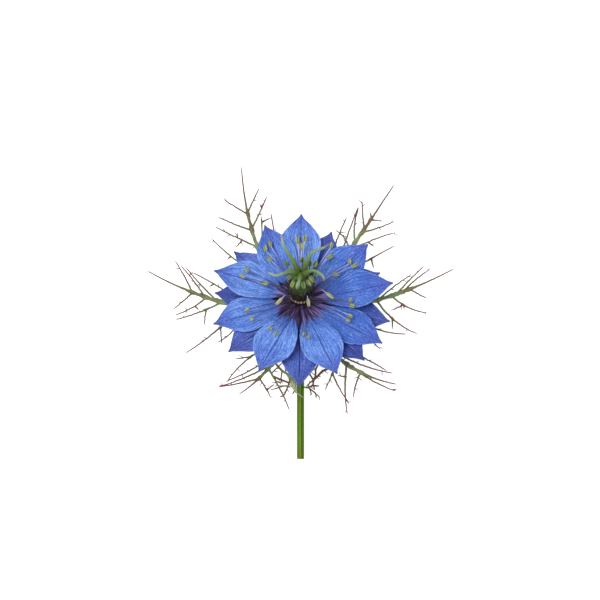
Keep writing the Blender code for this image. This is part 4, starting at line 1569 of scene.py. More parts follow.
# The bracts. Starts hidden under the bloom are guesses
BRACTS = {
    "upper_left": Bract((251.7, 229.5), (241.4, 166.3), True, (
        Thread((246.5, 214.2), (223.0, 199.0)),
        Thread((249.7, 212.5), (259.4, 187.6), lift=0.8),
        Thread((252.0, 230.6), (216.9, 216.3), (238.5, 225.7)),
        Thread((253.4, 228.6), (267.2, 195.6), (261.7, 208.2), 1.2, (
            Thread((261.7, 208.2), (259.4, 203.3)),)),
        Thread((262.0, 252.0), (260.9, 214.5), (262.0, 229.5), 1.8, (
            Thread((263.7, 223.1), (271.8, 217.4)),)),
        Thread((291.0, 304.0), (270.9, 212.2), (273.8, 231.2), 1.2),
        Thread((258.0, 247.0), (214.1, 226.3), (237.3, 237.8), 0.6, (
            Thread((237.3, 237.8), (237.9, 232.3)), Thread((240.2, 245.0), (236.2, 247.5)))),
        Thread((275.0, 282.0), (210.9, 237.8), (231.8, 257.0), 0.6, (
            Thread((230.6, 257.3), (226.4, 259.9)),)),
    )),
    "upper_right": Bract((365.2, 227.8), (394.5, 184.2), True, (
        Thread((365.0, 229.3), (362.0, 199.4), (362.3, 207.1), 0.4),
        Thread((363.0, 233.4), (395.3, 220.9), (373.2, 229.5)),
        Thread((371.9, 218.8), (369.5, 210.3)),
        Thread((372.4, 220.9), (381.8, 220.4)),
        Thread((355.6, 243.0), (358.9, 207.1), (354.9, 222.6), 1.2),
        Thread((336.0, 270.0), (358.3, 206.3), (350.0, 229.0), 2.4),
        Thread((350.0, 251.0), (334.5, 229.5), (345.7, 239.9), 0.3),
        Thread((324.0, 286.0), (347.1, 216.3), (335.9, 242.7), 1.4),
        Thread((350.0, 251.0), (395.6, 232.4), (372.1, 240.2), 0.6, (
            Thread((368.6, 243.9), (374.4, 246.8)),)),
        Thread((320.0, 291.0), (395.6, 245.3), (365.8, 261.7), 0.8, (
            Thread((370.9, 258.2), (374.1, 268.5)),)),
    )),
    "left": Bract((203.8, 296.6), (146.1, 270.1), False, (
        Thread((192.5, 291.0), (174.4, 259.6), (182.7, 273.3)),
        Thread((192.3, 292.7), (172.8, 309.6), lift=0.6),
        Thread((205.0, 296.0), (179.9, 264.3), (192.9, 280.0), 1.2),
        Thread((206.5, 296.4), (173.8, 315.4), (194.8, 306.1), 1.0, (
            Thread((195.8, 306.8), (199.9, 311.2)),)),
        Thread((217.0, 300.0), (184.6, 265.9), (194.2, 277.4), 2.0),
        Thread((245.0, 307.5), (191.0, 272.0), (208.2, 280.6), 3.0, (
            Thread((213.3, 285.7), (208.6, 287.3)),)),
        Thread((222.0, 302.0), (175.4, 319.8), (194.2, 314.1), 0.4, (
            Thread((207.6, 311.9), (204.1, 325.9)),)),
        Thread((242.0, 307.0), (185.0, 353.5), (203.8, 340.6), 0.0, (
            Thread((222.6, 329.1), (221.9, 344.7)),)),
        Thread((244.0, 308.0), (216.6, 342.8), (231.9, 331.9), 0.6),
    )),
    "right": Bract((409.0, 289.4), (455.2, 268.1), False, (
        Thread((403.5, 293.2), (431.7, 268.1), (421.7, 275.0)),
        Thread((410.2, 291.1), (427.4, 298.6), lift=0.5),
        Thread((396.5, 295.6), (424.8, 265.0), (407.3, 282.5), 1.2),
        Thread((392.0, 297.6), (428.8, 313.2), (403.3, 304.9), 0.8, (
            Thread((403.3, 304.9), (404.7, 309.2)), Thread((402.1, 306.0), (390.7, 310.6)))),
        Thread((378.6, 300.9), (411.9, 274.2), (398.7, 283.1), 1.8),
        Thread((377.0, 303.0), (418.0, 334.0), (392.4, 318.6), 0.0, (
            Thread((392.4, 318.6), (392.4, 329.6)),)),
        Thread((343.0, 310.0), (407.5, 334.0), (381.0, 330.5), 1.0),
        Thread((345.0, 310.0), (379.5, 348.7), lift=0.6),
    )),
    "lower_left": Bract((259.7, 377.7), (238.4, 394.6), False, (
        Thread((290.0, 337.0), (226.6, 382.8), (248.3, 358.6), 1.6, (
            Thread((248.3, 354.8), (234.6, 358.6)),)),
        Thread((283.0, 349.0), (225.3, 381.6), (249.5, 370.7), 0.8),
        Thread((272.0, 364.0), (218.3, 386.7), (238.1, 380.3), 1.8),
        Thread((257.2, 377.7), (218.9, 387.0), lift=-0.6),
        Thread((260.4, 379.0), (270.6, 397.8), (266.8, 389.8), 0.0, (
            Thread((266.8, 389.8), (275.0, 383.5)),)),
        Thread((268.5, 368.5), (289.7, 410.9), (275.7, 380.9), 0.4),
    )),
    "lower_right": Bract((354.2, 368.8), (397.6, 384.4), False, (
        Thread((352.0, 367.0), (396.3, 391.4), (369.5, 379.0), 0.6),
        Thread((322.0, 343.0), (393.8, 373.3), (365.7, 366.3), 0.4),
        Thread((318.0, 338.0), (387.0, 371.0), (365.1, 358.3), 1.6),
        Thread((347.0, 364.0), (347.5, 414.4), (345.3, 380.9), 0.0, (
            Thread((345.9, 398.8), (349.4, 404.2)), Thread((344.0, 377.1), (337.0, 375.2)))),
        Thread((359.3, 374.0), (353.6, 398.1), (354.2, 391.1), 0.8),
        Thread((339.0, 358.0), (324.9, 390.5), None, 0.8, (
            Thread((332.5, 373.3), (345.9, 398.8), (335.7, 380.9), 1.2),)),
    )),
}


@dataclass
class Bracts(Assembly):
    """The ring of finely cut bracts below the sepals."""

    rib_origin: float = 1.2
    rib_start: float = 0.6
    rise: float = 12.5
    tip_radius: float = 0.13
    taper: tuple[Pair, ...] = (
        (0.0, 0.42), (0.3, 0.47), (0.5, 0.47), (0.62, 0.43), (0.72, 0.37), (0.78, 0.25), (0.86, 0.2),
        (1.0, 0.14))
    ages: Pair = (-0.3, 0.85)
    sides: int = 10

    def laid(self, bowl: Bowl, pixel: Pixel, lift: float) -> Vector:
        """Where a thread lies that the picture shows here, this far above its bowl."""
        return PICTURE.seen(pixel, lambda x, y: bowl.height(x, y, self.tip_radius, lift)).to_2d()

    def twigs(self, bowl: Bowl, threads: Sequence[Thread], parent: Arc,
              parent_lifts: Pair) -> tuple[Twig, ...]:
        """Works twigs out from where their threads are seen.

        Args:
            bowl: the bowl that they lie on.
            threads: the threads.
            parent: what they grow from.
            parent_lifts: the lifts at the parent's two ends.

        Returns:
            A twig for each thread, with its forks.
        """
        twigs = []
        for thread in threads:
            at = parent.nearest(self.laid(bowl, thread.start, between(parent_lifts, 0.5)))
            start, heading = parent.at(at)
            low = between(parent_lifts, at / parent.length)
            lifts = (low, low + thread.lift)
            tip = self.laid(bowl, thread.tip, lifts[1])
            middle = (start + tip) / 2
            if thread.passes:
                before = math.dist(thread.start, thread.passes)
                after = math.dist(thread.passes, thread.tip)
                middle = self.laid(bowl, thread.passes, between(lifts, before / (before + after)))
            arc = Arc.through(start, middle, tip)
            forks = self.twigs(bowl, thread.forks, arc, lifts)
            twigs.append(Twig(at, arc.heading - heading, arc.length, arc.bend, thread.lift, forks))
        return tuple(twigs)

    def bowl(self, bract: Bract) -> Bowl:
        """The bowl that a bract lies on.

        Args:
            bract: the bract.

        Returns:
            The bowl. For a bract that rests, it meets the table at the tip.
        """
        if not bract.rests:
            return Bowl(self.rise)
        tip = PICTURE.seen(bract.tip, lambda x, y: Bowl.table(y, self.tip_radius))
        plain = Bowl(1.0)
        return Bowl((tip.z - plain.floor) / (tip.to_2d().length / plain.reach) ** plain.power)

    def build(self) -> None:
        """Makes each bract."""
        for seed, (name, bract) in enumerate(BRACTS.items()):
            bowl = self.bowl(bract)
            middle = self.laid(bowl, bract.passes, 0.0)
            tip = self.laid(bowl, bract.tip, 0.0)
            arc = Arc.through(middle.normalized() * self.rib_origin, middle, tip)
            twigs = self.twigs(bowl, bract.threads, arc, (0.0, 0.0))
            thicket = Thicket(bowl, random.Random(seed))
            strands = [thicket.strand(arc, (0.0, 0.0), self.taper, self.ages, twigs, self.rib_start)]
            strands += thicket.grow(twigs, arc, (0.0, 0.0), self.ages)
            piece = self.threads(f"{name}_bract", strands, HEAD, self.sides, self.finishes.bract)
            report(piece, "bract_olive", f"bract_{name}")


@dataclass(frozen=True)
class LeafThread:
    """A thread of a leaf, in mm: places across the table, radii, ages at its ends, lift, lobes or not."""

    places: tuple[Pair, ...]
    radii: tuple[float, ...]
    ages: Pair
    lift: float = 0.0
    lobed: bool = True


@dataclass(frozen=True)
class Leaf:
    """A small leaf beside the stem, on a slope that rises from its foot."""

    foot: Pair
    height: float
    rise: float
    threads: tuple[LeafThread, ...]


# Ages, and radii in mm, at the ends of a leaf's finer threads
BROWN = (0.62, 1.0)
OLIVE = (0.4, 0.95)
FINE = (0.2, 0.13)

LEAVES = {
    "left": Leaf((-1.5, -20.6), 1.3, 0.32, (
        LeafThread(((-0.95, -18.9), (-1.8, -17.6), (-2.8, -16.3), (-4.6, -15.15), (-5.95, -13.7),
                    (-6.7, -12.6)), (0.28, 0.33, 0.33, 0.3, 0.34, 0.3), (0.3, 0.42), lobed=False),
        LeafThread(((-1.05, -20.9), (-1.45, -19.6), (-1.95, -18.1), (-2.8, -16.7), (-3.9, -15.4)),
                   (0.14, 0.6, 0.72, 0.42, 0.2), (0.0, 0.12), -0.4, lobed=False),
        LeafThread(((-2.6, -17.0), (-2.95, -18.6), (-3.9, -20.9), (-4.45, -21.6), (-5.4, -21.95)),
                   (0.24, 0.22, 0.2, 0.24, 0.12), OLIVE),
        LeafThread(((-7.0, -16.5), (-5.3, -17.3), (-3.5, -18.0), (-2.7, -18.4)),
                   (0.24, 0.26, 0.24, 0.2), BROWN, 0.3),
        LeafThread(((-7.5, -15.8), (-5.95, -14.3), (-4.3, -12.7)), FINE, BROWN, 0.6),
        LeafThread(((-4.7, -15.2), (-4.9, -16.8), (-5.0, -18.4)), FINE, OLIVE, 0.3),
        LeafThread(((-7.7, -20.1), (-5.95, -19.6), (-4.0, -19.05), (-2.4, -19.4)),
                   (0.1, 0.18, 0.2, 0.24), (1.0, 0.3), 0.2),
        LeafThread(((-5.0, -18.4), (-5.9, -17.9), (-6.6, -18.4)), FINE, BROWN, 0.4),
        LeafThread(((-3.9, -13.9), (-3.75, -15.4)), FINE, OLIVE, 0.2),
        LeafThread(((-1.5, -20.4), (-1.75, -20.9), (-2.15, -21.1)), FINE, BROWN, -0.2),
        LeafThread(((-1.25, -20.75), (-0.15, -21.3), (0.85, -22.2)),
                   (0.13, 0.12), (0.0, 0.08), 0.75, lobed=False))),
    "right": Leaf((1.5, -19.1), 1.2, 0.36, (
        LeafThread(((0.98, -19.4), (2.1, -19.5), (3.3, -18.8), (3.55, -17.6), (4.65, -16.45),
                    (5.7, -15.3), (7.15, -14.6), (8.2, -14.1)),
                   (0.22, 0.25, 0.24, 0.27, 0.3, 0.3, 0.32, 0.26), (0.5, 0.9)),
        LeafThread(((2.1, -19.5), (3.15, -20.3), (4.0, -20.95), (4.1, -21.5), (4.2, -22.4)),
                   (0.22, 0.2, 0.2, 0.12), BROWN),
        LeafThread(((4.0, -21.1), (5.15, -21.95)), FINE, BROWN),
        LeafThread(((2.5, -19.9), (3.05, -21.5)), FINE, BROWN),
        LeafThread(((2.1, -19.5), (3.3, -19.0), (4.15, -19.05), (5.1, -19.05)),
                   (0.2, 0.22, 0.24, 0.16), BROWN, 0.2),
        LeafThread(((1.7, -19.2), (2.5, -18.3), (3.35, -17.6), (4.0, -16.4), (4.05, -14.8),
                    (4.8, -13.3)), (0.15, 0.18, 0.24, 0.24, 0.26, 0.22), BROWN, 0.3),
        LeafThread(((3.5, -17.7), (2.9, -16.6), (2.4, -15.9), (3.15, -14.9), (4.2, -14.5)),
                   (0.25, 0.24, 0.2, 0.24, 0.18), BROWN, 0.6),
        LeafThread(((4.65, -16.45), (5.4, -16.6)), FINE, BROWN),
        LeafThread(((3.5, -18.9), (3.8, -20.2)), FINE, BROWN))),
}


@dataclass
class StemLeaves(Assembly):
    """The two small leaves at a node on the stem, each a tangle of fine threads."""

    step: float = 0.45
    point_radius: float = 0.05
    lobes_per_mm: float = 0.4
    first_seed: int = 40
    sides: int = 10

    def strand(self, slope: Slope, thread: LeafThread) -> Strand:
        """One thread laid on the slope.

        Args:
            slope: the slope of its leaf.
            thread: the thread.

        Returns:
            Its strand, in mm, with a pointed end.
        """
        length = sum(math.dist(near, far) for near, far in zip(thread.places, thread.places[1:]))
        count = max(5, math.ceil(length / self.step))
        steps = len(thread.radii) - 1
        taper = [(step / steps, radius) for step, radius in enumerate(thread.radii)]
        made = Strand()
        route = smooth_route([(x, y, 0.0) for x, y in thread.places], count)
        for index, place in enumerate(route):
            share = index / (count - 1)
            radius = tapered(taper, share)
            height = slope.height(place.x, place.y, radius, thread.lift)
            made.add(Vector((place.x, place.y, height)), radius, between(thread.ages, share))
        made.radii[-1] = self.point_radius
        return made

    def build(self) -> None:
        """Makes both leaves."""
        for seed, (side, leaf) in enumerate(LEAVES.items(), self.first_seed):
            slope = Slope(Vector(leaf.foot), leaf.height, leaf.rise)
            thicket = Thicket(slope, random.Random(seed), lobes_per_mm=self.lobes_per_mm)
            strands = [self.strand(slope, thread) for thread in leaf.threads]
            for thread, strand in zip(leaf.threads, list(strands)):
                if thread.lobed:
                    strands += thicket.lobes(strand)
            piece = self.threads(f"{side}_leaf", strands, Matrix.Identity(4), self.sides,
                                 self.finishes.bract)
            report(piece, "bract_olive", f"leaf_{side}")


@dataclass
class Stem(Assembly):
    """The ridged stem: it lies along the table, bends up and ends in whorl, neck and receptacle."""

    radius: float = 0.93
    ridges: float = 9.0
    groove: float = 0.12
    bend_radius: float = 16.0
    end_y: float = -38.1
    painted_shade_from: float = -3.5
    sides: int = 90
    flat_steps: int = 30
    bend_steps: int = 16
    # Radius at each height on the bloom's axis, from the stalk up
    head: tuple[Pair, ...] = (
        (-10.2, 0.93), (-9.3, 0.98), (-8.7, 1.22), (-8.3, 1.4), (-7.7, 1.38), (-7.2, 1.12), (-6.4, 1.0),
        (-5.4, 1.1), (-4.6, 1.38), (-3.9, 1.85), (-3.3, 2.14), (-2.4, 2.2), (3.0, 2.2), (3.6, 2.05),
        (4.0, 1.7))

    def route(self) -> Strand:
        """Plans the stem from its cut end up to the receptacle.

        Returns:
            Its strand.
        """
        lean = math.pi / 2 - HEAD_LEAN
        bend_top = self.radius + self.bend_radius * (1 - math.cos(lean))
        start = HEAD_CENTRE + HEAD_AXIS * ((bend_top - HEAD_CENTRE.z) / HEAD_AXIS.z)
        made = Strand()
        flat_end = start.y - self.bend_radius * math.sin(lean)
        for step in range(self.flat_steps):
            y = self.end_y + (flat_end - self.end_y) * step / self.flat_steps
            made.add(Vector((start.x, y, self.radius)), self.radius, 0.0)
        for step in range(self.bend_steps + 1):
            down = lean * step / self.bend_steps
            y = start.y - self.bend_radius * (math.sin(lean) - math.sin(down))
            z = start.z - self.bend_radius * (math.cos(down) - math.cos(lean))
            made.add(Vector((start.x, y, z)), self.radius, 0.0)
        bend_height = (made.places[-1] - HEAD_CENTRE).dot(HEAD_AXIS)
        for height, radius in self.head:
            if height > bend_height:
                # Above that height the stem is inside the bloom, and an age of 1 gives it painted shade
                made.add(HEAD_CENTRE + HEAD_AXIS * height, radius, 1.0 if height > self.painted_shade_from else 0.0)
        return made

    def build(self) -> None:
        """Makes the stem."""
        values = {"Sides": self.sides, "Ridges": self.ridges, "Groove": self.groove,
                  "Material": self.finishes.stem}
        lines = strand_mesh([self.route()], Matrix.Identity(4))
        report(baked("ridged_stem", self.trees.stalk, values, lines), "stem_green", "stem")


@dataclass(frozen=True)
class Stamen:
    """A spread stamen: the pixel of its anther's middle, and its height above the cup.

    Its anther faces `turn` degrees to the left of its filament.
    """

    anther: Pixel
    height: float = 1.6
    turn: float = 0.0

    def middle(self) -> Vector:
        """Where its anther's middle is."""
        return PICTURE.seen(self.anther, lambda x, y: Sepals.cup_height(x, y) + self.height)


@dataclass(frozen=True)
class StamenGroup:
    """Spread stamens from one foot, with how pale their filaments and how long their anthers are."""

    stamens: tuple[Stamen, ...]
    pale: float = 0.3
    anther: float = 2.1


@dataclass(frozen=True)
class Upright:
    """A young stamen beside the ovary: its anther's middle as a pixel and a height, and its lean out."""

    anther: Pixel
    height: float
    lean: float


@dataclass
class Stamens(Assembly):
    """Spread stamens in groups, and the inner ones on their collar."""

    foot_radius: float = 0.34
    foot_reach: float = 2.92
    foot_height: float = 1.5
    arch: float = 1.0
    route_steps: int = 14
    anther_radius: float = 0.5
    young_length: float = 2.5
    young_radius: float = 0.6
    hanging_size: Pair = (2.9, 0.48)
    anther_sink: float = 0.3
    anther_reach: float = 2.1
    hinge: float = 0.08
    collar_radius: float = 2.88
    collar_height: float = 3.6
    collar_thickness: float = 0.3
    collar_beads: int = 24
    collar_steps: int = 144
    collar_sides: int = 10
    belly: float = 3.3
    belly_heights: Pair = (6.5, 9.5)
    groups: tuple[StamenGroup, ...] = (
        StamenGroup((Stamen((270.4, 243.6), turn=-22), Stamen((265.7, 248.5), turn=-28),
                     Stamen((269.5, 258.9), 1.8)), 0.8, 2.4),
        StamenGroup((Stamen((297.6, 240.6)), Stamen((304.6, 238.6)), Stamen((301.4, 246.9), 2.5)), 1.0, 2.7),
        StamenGroup((Stamen((331.4, 244.9), turn=20), Stamen((329.1, 256.8), turn=-20)), 0.9, 2.5),
        StamenGroup((Stamen((349.5, 261.2), turn=55), Stamen((354.3, 265.3)),
                     Stamen((335.8, 274.0), 2.8, -20)), 0.75, 2.4),
        StamenGroup((Stamen((246.9, 269.5), turn=-45), Stamen((242.7, 275.9), turn=-22),
                     Stamen((265.0, 282.7), 2.8)), 0.3, 2.4),
        StamenGroup((Stamen((246.6, 310.0)), Stamen((251.0, 318.9))), anther=1.5),
        StamenGroup((Stamen((269.9, 328.6)), Stamen((275.5, 334.2))), anther=1.2),
        StamenGroup((Stamen((304.0, 334.2)), Stamen((308.2, 337.1))), anther=1.3),
        StamenGroup((Stamen((351.1, 299.5), turn=70), Stamen((352.4, 305.6))), 0.4, 1.7),
        StamenGroup((Stamen((348.4, 320.0)), Stamen((350.2, 315.6))), 0.75, 1.7))
    uprights: tuple[Upright, ...] = (
        Upright((315.6, 274.6), 12.8, 8), Upright((315.6, 264.2), 13.2, 25),
        Upright((309.9, 263.2), 13.6, 5), Upright((302.2, 259.5), 13.8, 5),
        Upright((294.5, 261.2), 13.6, 5), Upright((286.8, 263.5), 13.4, 15),
        Upright((289.8, 269.6), 12.9, -15), Upright((289.5, 277.2), 12.6, -25),
        Upright((292.5, 283.9), 12.3, -38), Upright((298.0, 285.0), 12.3, -38),
        Upright((302.9, 283.3), 12.6, -35), Upright((308.5, 282.6), 12.4, -35),
        Upright((311.9, 279.3), 12.5, -25))
    upright_reaches: Pair = (2.95, 4.7)
    upright_steps: int = 18
    upright_seed: int = 21
    hanging_seed: int = 31
    hanging_ages: Pair = (0.0, 0.9)
    hanging_radius: float = 0.11
    hanging: tuple[tuple[Triple, ...], ...] = (
        ((-3.8, -1.8, 5.6), (-4.9, -2.6, 4.9)),
        ((1.7, -3.0, 7.3), (1.9, -3.66, 6.25)),
        ((5.2, -0.4, 5.8), (6.9, -0.9, 4.6)))

    @staticmethod
    def filament(route: Sequence[Vector], ages: Pair = (0.0, 1.0), first: float = 0.15,
                 last: float = 0.1) -> Strand:
        """A filament that thins along its route.

        Args:
            route: the places that it passes through, in mm.
            ages: how pale it is at its two ends.
            first: its radius at the root.
            last: its radius under the anther.

        Returns:
            The filament's strand.
        """
        made = Strand()
        steps = len(route) - 1
        for step, place in enumerate(route):
            share = step / steps
            made.add(place, between((first, last), share), between(ages, share))
        return made

    def spread_route(self, foot: Vector, stamen: Stamen) -> list[Vector]:
        """Plans an arching filament, out over the sepals to just short of the anther's middle.

        Args:
            foot: where its group grows from.
            stamen: the stamen.

        Returns:
            Places along the filament.
        """
        middle = stamen.middle().to_2d()
        turn = math.radians(stamen.turn)
        facing = Matrix.Rotation(turn, 2) @ (middle - foot.to_2d()).normalized()
        end = (middle - facing * self.anther_sink * self.anther_reach).to_3d()
        end.z = Sepals.cup_height(end.x, end.y) + stamen.height
        crown = (foot + end) / 2
        crown.z = max(foot.z, end.z) + self.arch
        shares = [step / self.route_steps for step in range(self.route_steps + 1)]
        route = [foot.lerp(crown, share).lerp(crown.lerp(end, share), share) for share in shares]
        last = Matrix.Rotation(turn, 3, "Z") @ (route[-1] - route[-2])
        return [*route, end + last.normalized() * self.hinge]

    def stamens(self, name: str, strands: Sequence[Strand], seed: int, size: Pair,
                filament: Material, anther: Material) -> Piece:
        """Filaments with anthers of this length and radius in mm, in their two finishes."""
        return baked(name, self.trees.stamens, {
            "Length": size[0] * MM, "Width": size[1] * MM, "Sink": self.anther_sink, "Seed": seed,
            "Filament": filament, "Anther": anther}, strand_mesh(strands, HEAD))

    def foot(self, place: Vector) -> Piece:
        """Makes the small swelling that a group of filaments grows from.

        Args:
            place: its middle, in mm.

        Returns:
            Its piece.
        """
        build = bmesh.new()
        matrix = HEAD @ Matrix.Translation(place * MM) @ Matrix.Scale(self.foot_radius * MM, 4)
        bmesh.ops.create_uvsphere(build, u_segments=14, v_segments=9, radius=1.0, matrix=matrix)
        piece = moulded(build, "foot", self.finishes.filament)
        piece.data.attributes.new("age", "FLOAT", "POINT")
        return piece

    def build_spread(self) -> None:
        """Makes the groups that lie out over the sepals."""
        for number, group in enumerate(self.groups, 1):
            middles = [stamen.middle().to_2d().normalized() for stamen in group.stamens]
            outward = sum(middles, Vector((0.0, 0.0)))
            place = polar(azimuth_of(outward), self.foot_reach, self.foot_height)
            strands = [self.filament(self.spread_route(place, stamen), (0.0, group.pale))
                       for stamen in group.stamens]
            piece = self.stamens(f"spread_stamens_{number}", strands, number,
                                 (group.anther, self.anther_radius), self.finishes.filament,
                                 self.finishes.anther)
            piece = joined([piece, self.foot(place)])
            report(piece, "stamen_green", f"stamens_{number}")

    def upright_route(self, upright: Upright) -> list[Vector]:
        """A route that climbs close beside the ovary and ends along the anther's lean.

        Args:
            upright: the young stamen.

        Returns:
            Places from the collar to the foot of the anther's middle.
        """
        lean = math.radians(upright.lean)
        along = Vector((math.sin(lean), math.cos(lean)))
        middle = PICTURE.seen(upright.anther, lambda x, y: upright.height)
        least, most = self.upright_reaches
        reach = min(max(middle.to_2d().length, least), most)
        end = Vector((reach, upright.height)) - along * self.anther_sink * self.young_length
        bow = end - along * self.young_length / 2
        low, high = self.belly_heights
        climb = ((self.collar_radius, self.collar_height), (self.belly, low), (self.belly, high), bow, end)
        places = [polar(azimuth_of(middle), reach, height) for reach, height in climb]
        return smooth_route(places, self.upright_steps)

    def collar(self) -> Strand:
        """The ring round the foot of the ovary, a little uneven, pale on its near side with painted shade
        behind.

        Returns:
            Its strand.
        """
        made = Strand()
        for step in range(self.collar_steps + 1):
            angle = 360.0 * step / self.collar_steps
            bead = 0.5 + 0.5 * math.sin(math.radians(angle * self.collar_beads))
            # Painted shade: only the near side of the collar is pale; the rest is dark
            lit_near_side = max(0.0, -math.sin(math.radians(angle))) ** 2
            made.add(polar(angle, self.collar_radius, self.collar_height),
                     self.collar_thickness * (0.6 + 0.45 * bead), (0.35 + 0.65 * bead) * lit_near_side)
        return made

    def build_inner(self) -> None:
        """Makes the collar with the upright and the hanging stamens."""
        upright = [self.filament(self.upright_route(one)) for one in self.uprights]
        hanging = []
        for middle, end in self.hanging:
            root = polar(azimuth_of(Vector(middle)), self.collar_radius, self.collar_height)
            route = smooth_route((root, middle, end), self.route_steps)
            hanging.append(self.filament(route, self.hanging_ages, self.hanging_radius))
        ring = self.threads("collar", [self.collar()], HEAD, self.collar_sides, self.finishes.collar)
        piece = joined([
            self.stamens("inner_stamens", upright, self.upright_seed,
                         (self.young_length, self.young_radius), self.finishes.young_filament,
                         self.finishes.young_anther),
            self.stamens("hanging_stamens", hanging, self.hanging_seed, self.hanging_size,
                         self.finishes.filament, self.finishes.pale_anther), ring])
        report(piece, "stamen_green", "stamens_inner")

    def build(self) -> None:
        """Makes all stamens."""
        self.build_spread()
        self.build_inner()


@dataclass
class Pistil(Assembly):
    """Five fused follicles, each with a curved style that passes pixels at given heights."""

    radius: float = 2.45
    base: float = 4.35
    top: float = 14.2
    lobes: int = 5
    lobe_depth: float = 0.1
    seam_depth: float = 0.035
    seam_width: float = 0.1
    steps_per_lobe: int = 24
    rings: int = 48
    top_rounding: float = 0.62
    foot_rounding: float = 0.5
    narrowing: float = 0.12
    dimple: float = 1.4
    dimple_radius: float = 0.7
    # Reach of the painted shade in the dip on top of the ovary
    hollow_shade_radius: float = 0.9
    styles: tuple[tuple[Triple, ...], ...] = (
        ((297.8, 270.6, 13.5), (292.5, 259.8, 15.8), (286.5, 250.5, 17.2), (283.1, 243.8, 17.8),
         (281.3, 234.9, 17.6)),
        ((303.9, 270.6, 13.5), (306.9, 261.2, 15.8), (312.6, 252.5, 17.4), (321.9, 248.5, 17.8),
         (328.6, 244.5, 17.2)),
        ((297.8, 273.9, 13.5), (291.1, 271.9, 15.4), (283.8, 273.2, 16.0), (275.7, 275.6, 15.2),
         (267.4, 271.9, 14.4)),
        ((303.2, 274.6, 13.5), (310.6, 270.6, 15.4), (317.2, 271.9, 16.2), (322.6, 275.9, 15.6),
         (324.4, 281.3, 13.8)),
        ((300.6, 275.2, 13.5), (299.5, 279.3, 15.2), (298.5, 283.9, 15.0), (297.5, 287.0, 13.6)))
    style_points: int = 30
    style_sides: int = 14
    youngest: float = 0.22
    taper: tuple[Pair, ...] = (
        (0.0, 0.8), (0.2, 0.62), (0.38, 0.42), (0.7, 0.37), (0.9, 0.29), (0.97, 0.23), (1.0, 0.1))

    def ovary(self) -> Piece:
        """Makes the ribbed barrel of the ovary, with a seam down each follicle.

        Returns:
            Its piece.
        """
        build = bmesh.new()
        steps = self.steps_per_lobe * self.lobes
        bmesh.ops.create_uvsphere(build, u_segments=steps, v_segments=self.rings, radius=1.0)
        middle = (self.base + self.top) / 2
        ages = []
        for vert in build.verts:
            azimuth = math.atan2(vert.co.y, vert.co.x)
            rounding = self.top_rounding if vert.co.z > 0.0 else self.foot_rounding
            barrel = math.hypot(vert.co.x, vert.co.y) ** rounding
            wave = math.cos(self.lobes * azimuth)
            seam = self.seam_depth / (1.0 + (math.sin(self.lobes * azimuth / 2) / self.seam_width) ** 2)
            ribbed = 1.0 + self.lobe_depth * wave - seam
            reach = self.radius * barrel * ribbed * (1.0 - self.narrowing * vert.co.z)
            height = middle + vert.co.z * (self.top - self.base) / 2
            hollow_shade = 0.0
            if vert.co.z > 0.0:
                height -= self.dimple * math.exp(-(reach / self.dimple_radius) ** 2)
                hollow_shade = math.exp(-(reach / self.hollow_shade_radius) ** 2)
            # The age sets the ovary's colour: painted shade darkens it towards the foot and in the dip on
            # top; it is a little lighter on the lobes than between them
            ages.append(max(0.0, 0.17 + 0.08 * vert.co.z + 0.07 * wave - 0.2 * hollow_shade))
            vert.co = Vector((reach * math.cos(azimuth), reach * math.sin(azimuth), height)) * MM
        bmesh.ops.transform(build, matrix=HEAD, verts=build.verts)
        piece = moulded(build, "ribbed_pistil", self.finishes.pistil)
        piece.data.attributes.new("age", "FLOAT", "POINT").data.foreach_set("value", ages)
        return piece

    def build(self) -> None:
        """Makes the pistil."""
        strands = []
        for knots in self.styles:
            made = Strand()
            route = smooth_route([PICTURE.seen((across, down), lambda x, y: height)
                                  for across, down, height in knots], self.style_points)
            for step, place in enumerate(route):
                share = step / (self.style_points - 1)
                made.add(place, tapered(self.taper, share), between((self.youngest, 1.0), share))
            strands.append(made)
        styles = self.threads("styles", strands, HEAD, self.style_sides, self.finishes.pistil)
        report(joined([self.ovary(), styles]), "pistil_green", "pistil")


@dataclass(frozen=True)
class Lamp:
    """A soft square light: where it hangs and its side, in metres, and its power in watts."""

    place: Triple
    size: float
    power: float


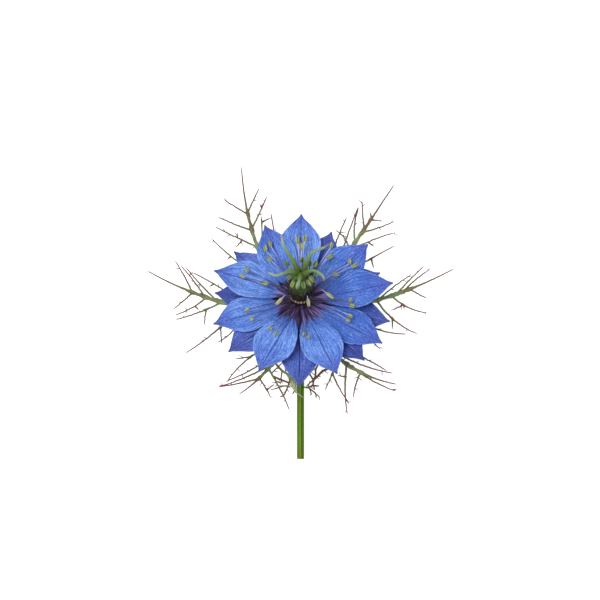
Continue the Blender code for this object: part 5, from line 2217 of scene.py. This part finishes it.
@dataclass
class Studio:
    """Pale floor, soft light and a camera that looks straight down, as the photograph does."""

    finishes: Finishes
    mm_per_pixel: float = 0.256
    picture: float = 600.0
    origin_pixel: Pair = (300.1, 312.8)
    plane_height: float = PICTURE.bloom_height
    camera_height: float = PICTURE.eye_height
    sensor: float = 36.0
    floor_size: float = 3.0
    sky_strength: float = 0.62
    key: Lamp = Lamp((-0.35, 0.2, 0.9), 0.5, 8.0)
    fill: Lamp = Lamp((0.5, -0.5, 0.7), 0.8, 2.0)

    def floor(self) -> None:
        """A wide plane under the flower."""
        build = bmesh.new()
        bmesh.ops.create_grid(build, x_segments=1, y_segments=1, size=self.floor_size)
        moulded(build, "floor", self.finishes.floor)

    def light(self, name: str, lamp: Lamp) -> None:
        """Hangs a light that faces the flower.

        Args:
            name: its name.
            lamp: what it is and where it hangs.
        """
        area = bpy.data.lights.new(name, "AREA")
        area.size = lamp.size
        area.energy = lamp.power
        piece = placed(name, area)
        piece.location = lamp.place
        aim = Vector((0.0, 0.0, 0.01)) - piece.location
        piece.rotation_euler = aim.to_track_quat("-Z", "Y").to_euler()

    def sky(self) -> None:
        """Adds even white light from all round."""
        world = bpy.data.worlds.new("studio")
        world.use_nodes = True
        background = world.node_tree.nodes["Background"]
        background.inputs["Color"].default_value = (1.0, 1.0, 1.0, 1.0)
        background.inputs["Strength"].default_value = self.sky_strength
        bpy.context.scene.world = world

    def camera(self) -> None:
        """The camera, placed so that the flower falls on the photograph's pixels."""
        middle = self.picture / 2
        lens = bpy.data.cameras.new("camera")
        lens.sensor_width = self.sensor
        away = self.camera_height - self.plane_height
        lens.lens = self.sensor * away / (self.picture * self.mm_per_pixel)
        lens.clip_start = 0.01
        lens.clip_end = 20.0
        piece = placed("camera", lens)
        piece.location = Vector((
            (middle - self.origin_pixel[0]) * self.mm_per_pixel,
            (self.origin_pixel[1] - middle) * self.mm_per_pixel,
            self.camera_height)) * MM
        bpy.context.scene.camera = piece

    def build(self) -> None:
        """Sets the stage."""
        self.floor()
        self.sky()
        self.light("key", self.key)
        self.light("fill", self.fill)
        self.camera()
        bpy.context.scene.view_settings.view_transform = "Standard"
        bpy.context.scene.view_settings.look = "None"


def main() -> None:
    """Builds the flower's looks in order."""
    logging.basicConfig(level=logging.INFO, format="%(message)s")
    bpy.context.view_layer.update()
    finishes = Finishes()
    trees = Trees()
    Studio(finishes).build()
    for assembly in (Stem, Bracts, StemLeaves, Sepals, Stamens, Pistil):
        assembly(finishes, trees).build()


if __name__ == "__main__":
    main()
